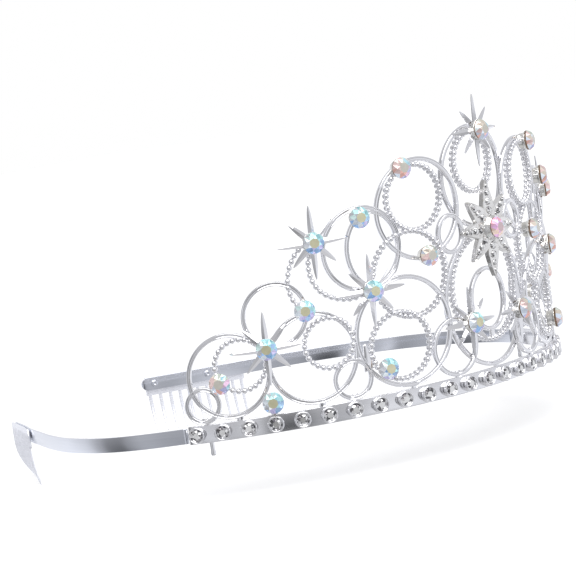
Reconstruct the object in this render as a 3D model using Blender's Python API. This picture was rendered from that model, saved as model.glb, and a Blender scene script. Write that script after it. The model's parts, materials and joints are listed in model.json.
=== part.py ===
"""Tiara: a pierced casting of rings on a stone-set base band, held by two spring-steel arms."""

import math

import bmesh
import bpy
from mathutils import Vector

# ---- driving dimensions, metres ----
MM = 0.001
WALL_RADIUS = 75 * MM
WALL_LEAN = 0.051

BAND_HEIGHT = 4.5 * MM
BAND_HALF_THICKNESS = 0.4 * MM
BAND_HALF_LENGTH = 88.0 * MM
BAND_SEGMENTS = 46
COLLET_COUNT = 27
COLLET_PITCH = 6.6 * MM
COLLET_RADIUS = 2.05 * MM
COLLET_FRONT = 1.9 * MM

WIRE_RADIUS = 0.52 * MM
BEAD_RADIUS = 0.55 * MM
LARGE_RING = 11 * MM
SMALL_RING = 5 * MM
RING_SIDES = 4
LAYER_STEP = 0.017 * MM
CENTRE_LAYER = -1.4 * MM

CUP_RADIUS = 2.75 * MM
CUP_BACK = -0.35 * MM
CUP_FRONT = 2.0 * MM
STONE_RADIUS = 2.4 * MM
STONE_HEIGHT = 1.5 * MM
STONE_GAP = 0.15 * MM
STONE_SIDES = 8

STAR_LAYER = 0.85 * MM
STAR_LONG = 9.2 * MM
STAR_SHORT = 7.6 * MM
STAR_VALLEY = 1.75 * MM
STAR_EDGE = 0.35 * MM
STAR_RIDGE = 0.9 * MM
STAR_HUB_HEIGHT = 1.5 * MM

BURST_VERTICAL = 12.3 * MM
BURST_SIDE = 10.5 * MM
BURST_DIAGONAL = 10.6 * MM
BURST_VALLEY = 4.2 * MM
BURST_EDGE = 1.3 * MM
BURST_RIDGE = 2.1 * MM
BURST_HUB_HEIGHT = 2.9 * MM

TAB_BOTTOM = 4.8 * MM
TAB_TOP = 6.1 * MM
TAB_WIDTH = 1.7 * MM
TAB_HALF_THICKNESS = 0.4 * MM

ARM_GAP = 0.4 * MM
ARM_THICKNESS = 0.6 * MM
ARM_BOTTOM = 0.35 * MM
ARM_TOP = 4.15 * MM
ARM_SEGMENTS = 36
HINGE_S = 88.2 * MM

COMB_BOTTOM = -1.2 * MM
COMB_TOP = 4.1 * MM
COMB_THICKNESS = 0.7 * MM
COMB_GAP = 0.3 * MM
COMB_TEETH = 11
TOOTH_LENGTH = 10.5 * MM
TOOTH_WIDTH = 1.3 * MM
TOOTH_INWARD_FRONT = 1.4 * MM
TOOTH_INWARD_REAR = 4.0 * MM

RIVET_RADIUS = 1.0 * MM
RIVET_HEIGHT = 0.5 * MM
RIVET_GAP = 0.12 * MM

PEG_S = 83.0 * MM
PEG_RADIUS = 0.65 * MM
PEG_OFFSET = -1.4 * MM
PEG_TOP = 3.4 * MM
PEG_BOTTOM = -3.5 * MM

# Arm plans, by side (1 is the wearer's right): angle from the front in degrees and distance from the
# crown's axis in millimetres. The right arm is sprung further open than the left.
ARM_PLAN = {
    1: (
        (67.4, 75.0),
        (83.0, 74.3),
        (99.0, 70.5),
        (115.0, 67.0),
        (131.0, 66.8),
        (147.0, 71.6),
        (155.0, 76.5),
        (162.5, 83.3),
    ),
    -1: (
        (67.4, 75.0),
        (83.0, 74.5),
        (99.0, 72.4),
        (115.0, 68.5),
        (131.0, 64.4),
        (147.0, 62.4),
        (158.0, 63.5),
        (169.0, 67.8),
    ),
}
# Height gained from the arm's start to its end: the right arm droops and the left one lifts a little.
ARM_RISE = {1: -2.4 * MM, -1: 1.4 * MM}
ARM_END_ANGLE = {1: 161.9, -1: 167.9}
COMB_ANGLES = {1: (140.8, 161.2), -1: (140.7, 166.9)}
RIVET_ANGLES = {1: (149.2, 159.7), -1: (150.8, 164.8)}

# Plain wire rings of one side: along the band, height, half width, half height, millimetres.
PLAIN_RINGS = (
    (83.5, 9.2, 4.1, 4.1),
    (76.2, 15.7, 10.1, 10.1),
    (63.0, 28.7, 7.8, 7.8),
    (54.9, 16.8, 11.0, 11.0),
    (45.5, 9.7, 4.6, 4.6),
    (39.2, 41.1, 10.1, 10.1),
    (36.3, 40.5, 6.9, 9.2),
    (22.0, 48.2, 12.3, 12.3),
    (30.0, 18.9, 13.4, 13.4),
    (15.6, 12.1, 6.9, 6.9),
    (13.0, 40.3, 4.0, 4.6),
)

# Beaded rings of one side, same columns.
BEADED_RINGS = (
    (73.0, 17.9, 6.4, 6.4),
    (50.5, 19.7, 6.2, 6.2),
    (31.7, 15.6, 8.3, 8.3),
    (23.1, 51.2, 8.1, 8.1),
    (26.6, 32.6, 10.6, 10.6),
)

# Beaded arcs of one side: along the band, height, millimetres.
OUTER_ARC = ((51.7, 44.0), (54.9, 43.8), (56.8, 41.8), (58.3, 38.8), (58.9, 35.0), (57.9, 31.2), (56.0, 29.2))
INNER_ARC = ((51.7, 44.0), (53.3, 39.6), (52.8, 35.4), (50.4, 31.9), (46.5, 29.9), (42.6, 29.5), (39.4, 30.5))

TAB_POSITIONS = (83.5, 74.6, 66.0, 54.0, 45.6, 29.6, 16.0)

# Stones in round cups on one side: name, along the band, height, millimetres.
CUP_STONES = (
    ("side_low", 78.2, 14.3),
    ("band_edge", 66.0, 7.7),
    ("side_high", 55.8, 28.7),
    ("wing_low", 36.9, 10.8),
    ("wing_top", 27.0, 59.0),
    ("wing_inner", 22.1, 36.3),
    ("wing_shoulder", 39.7, 48.9),
)

# Star castings of one side.
SIDE_STARS = (
    ("outer", 66.0, 21.0),
    ("upper", 51.7, 44.8),
    ("middle", 38.5, 30.5),
    ("inner", 10.3, 17.2),
)
TOP_STAR_HEIGHT = 64.6
BURST_HEIGHT = 39.6

# Centre casting: plain and beaded rings on the middle line.
CENTRE_PLAIN = (
    (0.0, 53.3, 12.7, 12.7),
    (0.0, 22.0, 16.0, 16.9),
    (0.0, 21.8, 7.0, 7.7),
)
CENTRE_BEADED = (
    (0.0, 25.0, 13.5, 13.5),
    (0.0, 57.0, 7.6, 7.6),
)
CENTRE_LINKS = ((0.0, 64.2, 66.2), (0.0, 38.3, 41.0), (0.0, 11.2, 14.4), (0.0, 4.8, 5.6))


def clear_scene():
    """Remove every object that is already there."""
    for item in list(bpy.data.objects):
        bpy.data.objects.remove(item, do_unlink=True)


def make_material(name, colour, roughness, metallic):
    """Return a plain Principled material."""
    material = bpy.data.materials.new(name)
    material.use_nodes = True
    shader = material.node_tree.nodes["Principled BSDF"]
    shader.inputs["Base Color"].default_value = (*colour, 1.0)
    shader.inputs["Roughness"].default_value = roughness
    shader.inputs["Metallic"].default_value = metallic
    material.diffuse_color = (*colour, 1.0)
    return material


def wall(s, height, offset, side=1):
    """Point of the leaning round wall: arc length from the front, height, and distance outwards."""
    angle = side * s / WALL_RADIUS
    radius = WALL_RADIUS + offset
    x = -radius * math.sin(angle)
    y = -radius * math.cos(angle) - WALL_LEAN * height
    return Vector((x, y, height))


def build_mesh(name, points, faces, material, smooth=False):
    """Make a closed mesh object whose faces point outwards."""
    mesh = bpy.data.meshes.new(name)
    mesh.from_pydata([tuple(p) for p in points], [], faces)
    shell = bmesh.new()
    shell.from_mesh(mesh)
    bmesh.ops.recalc_face_normals(shell, faces=shell.faces)
    if shell.calc_volume(signed=True) < 0:
        bmesh.ops.reverse_faces(shell, faces=shell.faces)
    for face in shell.faces:
        face.smooth = smooth
    shell.to_mesh(mesh)
    shell.free()
    mesh.materials.append(material)
    item = bpy.data.objects.new(name, mesh)
    bpy.context.scene.collection.objects.link(item)
    return item


def loft(sections, closed):
    """Points and faces of a skin through equal-sized loops, as a closed round or with two end caps."""
    size = len(sections[0])
    points = [p for section in sections for p in section]
    faces = []
    last = len(sections) if closed else len(sections) - 1
    for i in range(last):
        a = i * size
        b = ((i + 1) % len(sections)) * size
        for j in range(size):
            k = (j + 1) % size
            faces.append((a + j, a + k, b + k, b + j))
    if not closed:
        faces.append(tuple(range(size - 1, -1, -1)))
        end = (len(sections) - 1) * size
        faces.append(tuple(range(end, end + size)))
    return points, faces


def ring_tube(ring, radius, layer, side, material):
    """A round or oval ring of wire lying in the wall."""
    s, height, half_width, half_height = (value * MM for value in ring)
    count = 14
    if half_height > LARGE_RING:
        count = 18
    if half_height < SMALL_RING:
        count = 10
    sections = []
    for i in range(count):
        a = 2 * math.pi * (i + 0.5) / count
        section = []
        for j in range(RING_SIDES):
            b = 2 * math.pi * j / RING_SIDES
            reach = radius * math.cos(b)
            ps = s + (half_width + reach) * math.cos(a)
            ph = height + (half_height + reach) * math.sin(a)
            section.append(wall(ps, ph, layer + radius * math.sin(b), side))
        sections.append(section)
    points, faces = loft(sections, True)
    return build_mesh("ring", points, faces, material, True)


def path_tube(path, radius, layer, side, material):
    """A wire along an open path lying in the wall."""
    flat = [Vector((s * MM, height * MM)) for s, height in path]
    sections = []
    for i, here in enumerate(flat):
        before = flat[max(i - 1, 0)]
        after = flat[min(i + 1, len(flat) - 1)]
        along = (after - before).normalized()
        across = Vector((-along.y, along.x))
        section = []
        for j in range(RING_SIDES):
            b = 2 * math.pi * j / RING_SIDES
            p = here + across * radius * math.cos(b)
            section.append(wall(p.x, p.y, layer + radius * math.sin(b), side))
        sections.append(section)
    points, faces = loft(sections, False)
    return build_mesh("arc", points, faces, material, True)


def wall_prism(outline, back, front, side, material):
    """A plate of the wall with the given outline between two offsets."""
    sections = []
    for offset in (back, front):
        sections.append([wall(s, height, offset, side) for s, height in outline])
    points, faces = loft(sections, False)
    return build_mesh("prism", points, faces, material)


def wall_cylinder(s, height, radius, back, front, count, side, material):
    """A short round boss standing straight out of the wall."""
    centre = wall(s, height, 0, side)
    out = (wall(s, height, MM, side) - centre).normalized()
    across = Vector((out.y, -out.x, 0)).normalized()
    up = out.cross(across)
    sections = []
    for offset in (back, front):
        loop = []
        for j in range(count):
            a = 2 * math.pi * (j + 0.5) / count
            loop.append(centre + out * offset + across * radius * math.cos(a) + up * radius * math.sin(a))
        sections.append(loop)
    points, faces = loft(sections, False)
    return build_mesh("boss", points, faces, material)


def unite(name, pieces, material):
    """Weld overlapping pieces into one closed body."""
    body = pieces[0]
    for piece in pieces[1:]:
        step = body.modifiers.new("weld", "BOOLEAN")
        step.operation = "UNION"
        step.solver = "EXACT"
        step.object = piece
        graph = bpy.context.evaluated_depsgraph_get()
        mesh = bpy.data.meshes.new_from_object(body.evaluated_get(graph))
        body.modifiers.clear()
        body.data = mesh
        bpy.data.objects.remove(piece, do_unlink=True)
    shell = bmesh.new()
    shell.from_mesh(body.data)
    bmesh.ops.remove_doubles(shell, verts=shell.verts, dist=0.000001)
    bmesh.ops.dissolve_limit(
        shell, angle_limit=math.radians(0.5), verts=shell.verts, edges=shell.edges, delimit=set()
    )
    bmesh.ops.triangulate(shell, faces=[face for face in shell.faces if len(face.verts) > 3])
    shell.to_mesh(body.data)
    shell.free()
    body.data.materials.clear()
    body.data.materials.append(material)
    body.name = name
    body.data.name = name
    return body


def make_band(material):
    """Base band with its row of round collets."""
    sections = []
    for i in range(BAND_SEGMENTS + 1):
        s = BAND_HALF_LENGTH * (2 * i / BAND_SEGMENTS - 1)
        t = BAND_HALF_THICKNESS
        corners = ((0, -t), (0, t), (BAND_HEIGHT, t), (BAND_HEIGHT, -t))
        sections.append([wall(s, height, offset) for height, offset in corners])
    points, faces = loft(sections, False)
    pieces = [build_mesh("strip", points, faces, material)]
    first = -(COLLET_COUNT - 1) / 2
    for i in range(COLLET_COUNT):
        s = (first + i) * COLLET_PITCH
        middle = BAND_HEIGHT / 2
        pieces.append(wall_cylinder(s, middle, COLLET_RADIUS, 0, COLLET_FRONT, 8, 1, material))
    return unite("base_band", pieces, material)


def tab(s, bottom, top, layer, side, material):
    """Small tongue between a ring and its neighbour."""
    half = TAB_WIDTH / 2
    outline = ((s - half, bottom), (s + half, bottom), (s + half, top), (s - half, top))
    return wall_prism(outline, layer - TAB_HALF_THICKNESS, layer + TAB_HALF_THICKNESS, side, material)


def make_wing(name, side, material):
    """One side's casting: plain rings, beaded rings and arcs, stone cups and tabs."""
    pieces = []
    for i, ring in enumerate(PLAIN_RINGS):
        pieces.append(ring_tube(ring, WIRE_RADIUS, (i - 5) * LAYER_STEP, side, material))
    for i, ring in enumerate(BEADED_RINGS):
        pieces.append(ring_tube(ring, BEAD_RADIUS, (i - 2.5) * LAYER_STEP, side, material))
    for i, path in enumerate((OUTER_ARC, INNER_ARC)):
        pieces.append(path_tube(path, BEAD_RADIUS, (i + 2.7) * LAYER_STEP, side, material))
    web = ((39.8 * MM, 11.5 * MM), (42.4 * MM, 10.8 * MM), (42.0 * MM, 17.6 * MM), (41.2 * MM, 17.8 * MM))
    pieces.append(wall_prism(web, -TAB_HALF_THICKNESS, TAB_HALF_THICKNESS, side, material))
    for s in TAB_POSITIONS:
        pieces.append(tab(s * MM, TAB_BOTTOM, TAB_TOP, 0, side, material))
    for _, s, height in CUP_STONES:
        pieces.append(wall_cylinder(s * MM, height * MM, CUP_RADIUS, CUP_BACK, CUP_FRONT, 12, side, material))
    return unite(name, pieces, material)


def mirror(name, source, material):
    """The same body on the other side of the middle plane."""
    points = [Vector((-v.co.x, v.co.y, v.co.z)) for v in source.data.vertices]
    faces = [tuple(reversed(face.vertices)) for face in source.data.polygons]
    return build_mesh(name, points, faces, material)


def make_centre(material):
    """Centre casting: rings on the middle line, set behind the wings."""
    pieces = []
    for i, ring in enumerate(CENTRE_PLAIN):
        pieces.append(ring_tube(ring, WIRE_RADIUS, CENTRE_LAYER + i * LAYER_STEP, 1, material))
    for i, ring in enumerate(CENTRE_BEADED):
        pieces.append(ring_tube(ring, BEAD_RADIUS, CENTRE_LAYER - (i + 1) * LAYER_STEP, 1, material))
    for s, bottom, top in CENTRE_LINKS:
        pieces.append(tab(s * MM, bottom * MM, top * MM, CENTRE_LAYER, 1, material))
    return unite("centre_filigree", pieces, material)


def make_rays(name, s, height, lengths, valley, edge, ridge, hub, side, material):
    """An eight-rayed casting with a ridge down every ray and a round hub for the stone."""
    outline = []
    count = 2 * len(lengths)
    for i in range(count):
        a = 2 * math.pi * i / count
        reach = lengths[i // 2] if i % 2 == 0 else valley
        outline.append((s * MM + reach * math.cos(a), height * MM + reach * math.sin(a)))
    back = [wall(ps, ph, STAR_LAYER, side) for ps, ph in outline]
    front = [wall(ps, ph, STAR_LAYER + edge, side) for ps, ph in outline]
    peak = wall(s * MM, height * MM, STAR_LAYER + ridge, side)
    base = wall(s * MM, height * MM, STAR_LAYER, side)
    points = back + front + [peak, base]
    faces = []
    for i in range(count):
        k = (i + 1) % count
        faces.append((i, k, count + k, count + i))
        faces.append((count + i, count + k, 2 * count))
        faces.append((k, i, 2 * count + 1))
    rays = build_mesh("rays", points, faces, material)
    boss = wall_cylinder(
        s * MM, height * MM, CUP_RADIUS, STAR_LAYER + 0.1 * MM, STAR_LAYER + hub, 12, side, material
    )
    return unite(name, [rays, boss], material)


def make_star(name, s, height, side, material):
    """A small needle-rayed star."""
    lengths = [STAR_LONG if i % 2 == 0 else STAR_SHORT for i in range(8)]
    return make_rays(
        name, s, height, lengths, STAR_VALLEY, STAR_EDGE, STAR_RIDGE, STAR_HUB_HEIGHT, side, material
    )


def make_burst(material):
    """The broad-rayed star in the middle of the crown."""
    lengths = []
    for i in range(8):
        if i % 2:
            lengths.append(BURST_DIAGONAL)
        elif i % 4:
            lengths.append(BURST_VERTICAL)
        else:
            lengths.append(BURST_SIDE)
    return make_rays(
        "centre_burst", 0, BURST_HEIGHT, lengths, BURST_VALLEY, BURST_EDGE, BURST_RIDGE,
        BURST_HUB_HEIGHT, 1, material
    )


def make_stone(name, s, height, seat, side, material):
    """A cut stone with a flat table, sitting just above its seat."""
    centre = wall(s * MM, height * MM, 0, side)
    out = (wall(s * MM, height * MM, MM, side) - centre).normalized()
    across = Vector((out.y, -out.x, 0)).normalized()
    up = out.cross(across)
    levels = ((0, 0.8), (0.35, 1.0), (0.75, 0.85), (1.0, 0.5))
    sections = []
    for lift, share in levels:
        loop = []
        for j in range(STONE_SIDES):
            a = 2 * math.pi * j / STONE_SIDES
            radius = STONE_RADIUS * share
            middle = centre + out * (seat + STONE_GAP + STONE_HEIGHT * lift)
            loop.append(middle + across * radius * math.cos(a) + up * radius * math.sin(a))
        sections.append(loop)
    points, faces = loft(sections, False)
    return build_mesh(name, points, faces, material)


def arm_radius(angle, side):
    """Smooth curve through one arm's plan radii (cubic through neighbouring points)."""
    plan = ARM_PLAN[side]
    last = len(plan) - 1
    i = 0
    while i < last - 1 and angle > plan[i + 1][0]:
        i += 1

    def slope(k):
        """Slope of the curve at one plan point."""
        low = max(k - 1, 0)
        high = min(k + 1, last)
        return (plan[high][1] - plan[low][1]) / (plan[high][0] - plan[low][0])

    width = plan[i + 1][0] - plan[i][0]
    t = (angle - plan[i][0]) / width
    start = plan[i][1] * (1 + 2 * t) * (1 - t) ** 2 + slope(i) * width * t * (1 - t) ** 2
    end = plan[i + 1][1] * t * t * (3 - 2 * t) + slope(i + 1) * width * t * t * (t - 1)
    return (start + end) * MM


def arm_point(angle, offset, height, side):
    """Point beside the arm's centre line: degrees from the front, distance outwards, height."""
    def plan(degrees):
        """Centre line in plan."""
        a = math.radians(degrees) * side
        return Vector((-math.sin(a), -math.cos(a), 0)) * arm_radius(degrees, side)

    along = (plan(angle + 0.5) - plan(angle - 0.5)).normalized() * side
    out = Vector((-along.y, along.x, 0))
    here = plan(angle)
    if out.dot(here) < 0:
        out = -out
    p = here + out * offset
    start = arm_start_angle()
    rise = ARM_RISE[side] * (angle - start) / (ARM_END_ANGLE[side] - start)
    return Vector((p.x, p.y, height + rise))


def arm_start_angle():
    """Angle where the arm begins, just past the band's end."""
    return math.degrees((BAND_HALF_LENGTH + ARM_GAP) / WALL_RADIUS)


def hinge_point(side):
    """Point of the upright axis the arm bends about."""
    return wall(HINGE_S, 0, 0, side)


def place_origin(item, point):
    """Move an object's origin without moving its surface."""
    for vertex in item.data.vertices:
        vertex.co -= point
    item.location = point
    return item


def make_arm(name, side, material):
    """Flat spring strip with rounded end corners."""
    start = arm_start_angle()
    sections = []
    half = ARM_THICKNESS / 2
    for i in range(ARM_SEGMENTS + 1):
        angle = start + (ARM_END_ANGLE[side] - start) * i / ARM_SEGMENTS
        inset = 0.9 * MM if i == ARM_SEGMENTS else 0
        bottom = ARM_BOTTOM + inset
        top = ARM_TOP - inset
        corners = ((-half, bottom), (half, bottom), (half, top), (-half, top))
        sections.append([arm_point(angle, offset, height, side) for offset, height in corners])
    points, faces = loft(sections, False)
    return place_origin(build_mesh(name, points, faces, material), hinge_point(side))


def make_comb(name, side, material):
    """Comb plate on the arm's outer face with teeth that curve in under the arm."""
    back = ARM_THICKNESS / 2 + COMB_GAP
    front = back + COMB_THICKNESS
    first, last = COMB_ANGLES[side]
    sections = []
    steps = 12
    for i in range(steps + 1):
        angle = first + (last - first) * i / steps
        corners = ((back, COMB_BOTTOM), (front, COMB_BOTTOM), (front, COMB_TOP), (back, COMB_TOP))
        sections.append([arm_point(angle, offset, height, side) for offset, height in corners])
    points, faces = loft(sections, False)
    pieces = [build_mesh("plate", points, faces, material)]
    margin = 0.8
    for i in range(COMB_TEETH):
        share = i / (COMB_TEETH - 1)
        angle = first + margin + (last - first - 2 * margin) * share
        inward = TOOTH_INWARD_FRONT + (TOOTH_INWARD_REAR - TOOTH_INWARD_FRONT) * share
        pieces.append(make_tooth(angle, back, inward, side, material))
    comb = unite(name, pieces, material)
    return place_origin(comb, hinge_point(side))


def make_tooth(angle, back, inward, side, material):
    """One tapering tooth; its lean inwards grows as the square of the way down."""
    sections = []
    for step, share in ((-0.08, 1.0), (0.3, 1.0), (0.65, 0.85), (1.0, 0.4)):
        height = COMB_BOTTOM - TOOTH_LENGTH * step
        lean = inward * max(step, 0) ** 2
        half = TOOTH_WIDTH / 2 * share
        turn = math.degrees(half / arm_radius(angle, side))
        inner = back + 0.05 * MM - lean
        outer = inner + 0.6 * MM * (0.5 + 0.5 * share)
        corners = ((-turn, inner), (turn, inner), (turn, outer), (-turn, outer))
        sections.append([arm_point(angle + t, offset, height, side) for t, offset in corners])
    points, faces = loft(sections, False)
    return build_mesh("tooth", points, faces, material)


def make_rivet(name, angle, side, material):
    """Low rivet head on the arm's inner face, behind the comb."""
    height = (ARM_BOTTOM + ARM_TOP) / 2
    seat = -ARM_THICKNESS / 2 - RIVET_GAP
    centre = arm_point(angle, seat, height, side)
    inwards = (arm_point(angle, seat - MM, height, side) - centre).normalized()
    across = Vector((inwards.y, -inwards.x, 0))
    up = Vector((0, 0, 1))
    sections = []
    for lift, share in ((0, 1.0), (0.5, 0.85), (1.0, 0.45)):
        loop = []
        for j in range(12):
            a = 2 * math.pi * j / 12
            middle = centre + inwards * RIVET_HEIGHT * lift
            loop.append(middle + (across * math.cos(a) + up * math.sin(a)) * RIVET_RADIUS * share)
        sections.append(loop)
    points, faces = loft(sections, False)
    return place_origin(build_mesh(name, points, faces, material), hinge_point(side))


def make_peg(name, side, material):
    """Round-tipped peg that hangs behind the band near its end."""
    centre = wall(PEG_S, 0, PEG_OFFSET, side)
    levels = (
        (PEG_TOP, 1.0),
        (PEG_BOTTOM + 0.6 * MM, 1.0),
        (PEG_BOTTOM + 0.2 * MM, 0.8),
        (PEG_BOTTOM, 0.4),
    )
    sections = []
    for height, share in levels:
        loop = []
        for j in range(10):
            a = 2 * math.pi * j / 10
            radius = PEG_RADIUS * share
            loop.append(Vector((centre.x + radius * math.cos(a), centre.y + radius * math.sin(a), height)))
        sections.append(loop)
    points, faces = loft(sections, False)
    return build_mesh(name, points, faces, material)


def stand_on_origin(items):
    """Parent everything to one empty so that the middle of the underside of the whole is the origin."""
    low = Vector((1, 1, 1))
    high = Vector((-1, -1, -1))
    for item in items:
        for vertex in item.data.vertices:
            p = vertex.co + item.location
            low = Vector(map(min, low, p))
            high = Vector(map(max, high, p))
    root = bpy.data.objects.new("crown_origin", None)
    bpy.context.scene.collection.objects.link(root)
    root.location = (-(low.x + high.x) / 2, -(low.y + high.y) / 2, -low.z)
    for item in items:
        item.parent = root


def main():
    """Build the whole tiara."""
    clear_scene()
    silver = make_material("silver_plate", (0.86, 0.86, 0.87), 0.18, 1.0)
    steel = make_material("spring_steel", (0.62, 0.65, 0.70), 0.25, 1.0)
    crystal = make_material("coated_crystal", (0.72, 0.86, 0.90), 0.05, 0.0)
    items = [make_band(silver), make_centre(silver), make_burst(silver)]
    items.append(make_star("star_top", 0, TOP_STAR_HEIGHT, 1, silver))
    seat = STAR_LAYER + STAR_HUB_HEIGHT
    items.append(make_stone("stone_star_top", 0, TOP_STAR_HEIGHT, seat, 1, crystal))
    burst_seat = STAR_LAYER + BURST_HUB_HEIGHT
    items.append(make_stone("stone_centre", 0, BURST_HEIGHT, burst_seat, 1, crystal))
    for hand, side in (("right", 1), ("left", -1)):
        if side > 0:
            wing = make_wing("right_filigree", side, silver)
            items.append(wing)
        else:
            items.append(mirror("left_filigree", wing, silver))
        for label, s, height in SIDE_STARS:
            items.append(make_star("star_" + label + "_" + hand, s, height, side, silver))
            items.append(make_stone("stone_star_" + label + "_" + hand, s, height, seat, side, crystal))
        for label, s, height in CUP_STONES:
            items.append(make_stone("stone_" + label + "_" + hand, s, height, CUP_FRONT, side, crystal))
        items.append(make_arm("arm_" + hand, side, steel))
        items.append(make_comb("comb_" + hand, side, steel))
        fore, rear = RIVET_ANGLES[side]
        items.append(make_rivet("rivet_fore_" + hand, fore, side, steel))
        items.append(make_rivet("rivet_rear_" + hand, rear, side, steel))
        items.append(make_peg("peg_" + hand, side, silver))
    stand_on_origin(items)


main()
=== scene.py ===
"""Looks of a silver tiara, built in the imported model's frame.

The wall of the front is a round cylinder that leans a little forwards. A place on it is given by the
arc length from the middle of the front, the height above the band's lower edge and the distance outwards.
"""

import json
import logging
import math
from dataclasses import dataclass
from enum import Enum, IntEnum
from typing import Sequence

import bmesh
import bpy
import numpy as np
from mathutils import Matrix, Vector


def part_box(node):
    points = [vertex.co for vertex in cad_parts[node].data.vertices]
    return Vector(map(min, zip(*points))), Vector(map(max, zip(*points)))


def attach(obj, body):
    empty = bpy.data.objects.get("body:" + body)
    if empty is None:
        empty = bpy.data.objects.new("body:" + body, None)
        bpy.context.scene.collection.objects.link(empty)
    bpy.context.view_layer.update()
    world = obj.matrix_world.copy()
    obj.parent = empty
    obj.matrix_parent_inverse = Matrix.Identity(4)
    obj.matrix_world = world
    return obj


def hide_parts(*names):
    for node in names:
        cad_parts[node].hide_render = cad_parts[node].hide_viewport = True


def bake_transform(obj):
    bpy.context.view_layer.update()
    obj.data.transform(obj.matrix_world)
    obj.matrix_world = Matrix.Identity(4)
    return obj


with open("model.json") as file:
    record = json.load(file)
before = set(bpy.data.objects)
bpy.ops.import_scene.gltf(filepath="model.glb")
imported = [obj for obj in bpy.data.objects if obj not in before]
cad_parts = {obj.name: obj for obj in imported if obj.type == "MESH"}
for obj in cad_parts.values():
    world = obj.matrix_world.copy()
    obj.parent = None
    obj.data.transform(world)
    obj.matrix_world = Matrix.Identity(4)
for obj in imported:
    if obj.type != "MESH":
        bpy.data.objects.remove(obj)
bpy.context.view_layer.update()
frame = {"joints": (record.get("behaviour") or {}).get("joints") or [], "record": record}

LOG = logging.getLogger("tiara")
MM = 0.001
TAU = 2.0 * math.pi
# Face-corner colour of the cut stones' facets: painted reflections and glints set by the way each facet
# faces, laid over the coating's own colours on the coated stones.
FACET_COLOUR_AND_GLINT = "facet_tint"
SPLINE_STEPS = 400
SQUARENESS = 0.68


class Hand(Enum):
    """Side of the wearer, as the sign of the arc length."""

    RIGHT = 1
    LEFT = -1

    @property
    def word(self) -> str:
        """Lower-case name used in node names."""
        return self.name.lower()


class Slot(Enum):
    """Material slots of the record."""

    SILVER = "silver_plate"
    STEEL = "spring_steel"
    CRYSTAL = "coated_crystal"


# ---------------------------------------------------------------- mesh tools


def grid_faces(rows: int, columns: int, wrap_rows: bool, wrap_columns: bool, copies: int = 1) -> np.ndarray:
    """Quads of a grid of points stored row by row.

    Args:
        rows: points along the first parameter.
        columns: points along the second parameter.
        wrap_rows: joins the last row to the first.
        wrap_columns: joins the last column to the first.
        copies: how many grids follow one another in the point list.

    Returns:
        Integer array, four point numbers to a face.
    """
    i = np.arange(rows if wrap_rows else rows - 1)
    j = np.arange(columns if wrap_columns else columns - 1)
    i, j = np.meshgrid(i, j, indexing="ij")
    i2 = (i + 1) % rows
    j2 = (j + 1) % columns
    quad = np.stack([i * columns + j, i2 * columns + j, i2 * columns + j2, i * columns + j2], -1)
    shift = (np.arange(copies) * rows * columns)[:, None, None]
    return (quad.reshape(1, -1, 4) + shift).reshape(-1, 4)


class Shell:
    """Points and faces gathered from several surfaces into one mesh."""

    def __init__(self) -> None:
        """Start empty."""
        self.points: list[np.ndarray] = []
        self.faces: list[np.ndarray] = []
        self.tints: list[np.ndarray] = []
        self.count = 0

    def add(self, points: np.ndarray, faces: Sequence[np.ndarray], tints: Sequence[np.ndarray] = ()) -> None:
        """Add one closed surface.

        Args:
            points: positions in the row frame.
            faces: arrays of faces, each with its own number of corners.
            tints: for each array of faces, one colour a face; may be empty.
        """
        flat = points.reshape(-1, 3)
        self.points.append(flat)
        for k, block in enumerate(faces):
            self.faces.append(block + self.count)
            self.tints.append(tints[k] if len(tints) else np.ones((len(block), 3)))
        self.count += len(flat)

    def build(
        self, name: str, material: bpy.types.Material, smooth: bool = True, tint: bool = False
    ) -> bpy.types.Object:
        """Make the object, with every surface facing outwards.

        Args:
            name: name of the object.
            material: its material.
            smooth: shades it smooth.
            tint: writes the colours as a face-corner attribute.

        Returns:
            The new object, at the origin.
        """
        points = np.concatenate(self.points)
        mesh = bpy.data.meshes.new(name)
        mesh.vertices.add(len(points))
        mesh.vertices.foreach_set("co", points.astype(np.float32).ravel())
        sizes = np.concatenate([np.full(len(f), f.shape[1]) for f in self.faces])
        corners = np.concatenate([f.ravel() for f in self.faces])
        starts = np.concatenate([[0], np.cumsum(sizes)[:-1]])
        mesh.loops.add(len(corners))
        mesh.loops.foreach_set("vertex_index", corners.astype(np.int32))
        mesh.polygons.add(len(sizes))
        mesh.polygons.foreach_set("loop_start", starts.astype(np.int32))
        mesh.polygons.foreach_set("use_smooth", np.full(len(sizes), smooth))
        mesh.update(calc_edges=True)
        mesh.validate()
        if tint:
            colours = np.repeat(np.concatenate(self.tints), sizes, axis=0)
            layer = mesh.color_attributes.new(FACET_COLOUR_AND_GLINT, "FLOAT_COLOR", "CORNER")
            rgba = np.concatenate([colours, np.ones((len(colours), 1))], 1)
            layer.data.foreach_set("color", rgba.astype(np.float32).ravel())
        item = bpy.data.objects.new(name, mesh)
        bpy.context.scene.collection.objects.link(item)
        mesh.materials.append(material)
        face_outwards(mesh)
        LOG.info("%s: %d faces", name, len(mesh.polygons))
        return item


def face_outwards(mesh: bpy.types.Mesh) -> None:
    """Turn every closed part of a mesh to face outwards.

    Args:
        mesh: the mesh, changed in place.
    """
    shell = bmesh.new()
    shell.from_mesh(mesh)
    bmesh.ops.recalc_face_normals(shell, faces=shell.faces)
    shell.to_mesh(mesh)
    shell.free()


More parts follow.
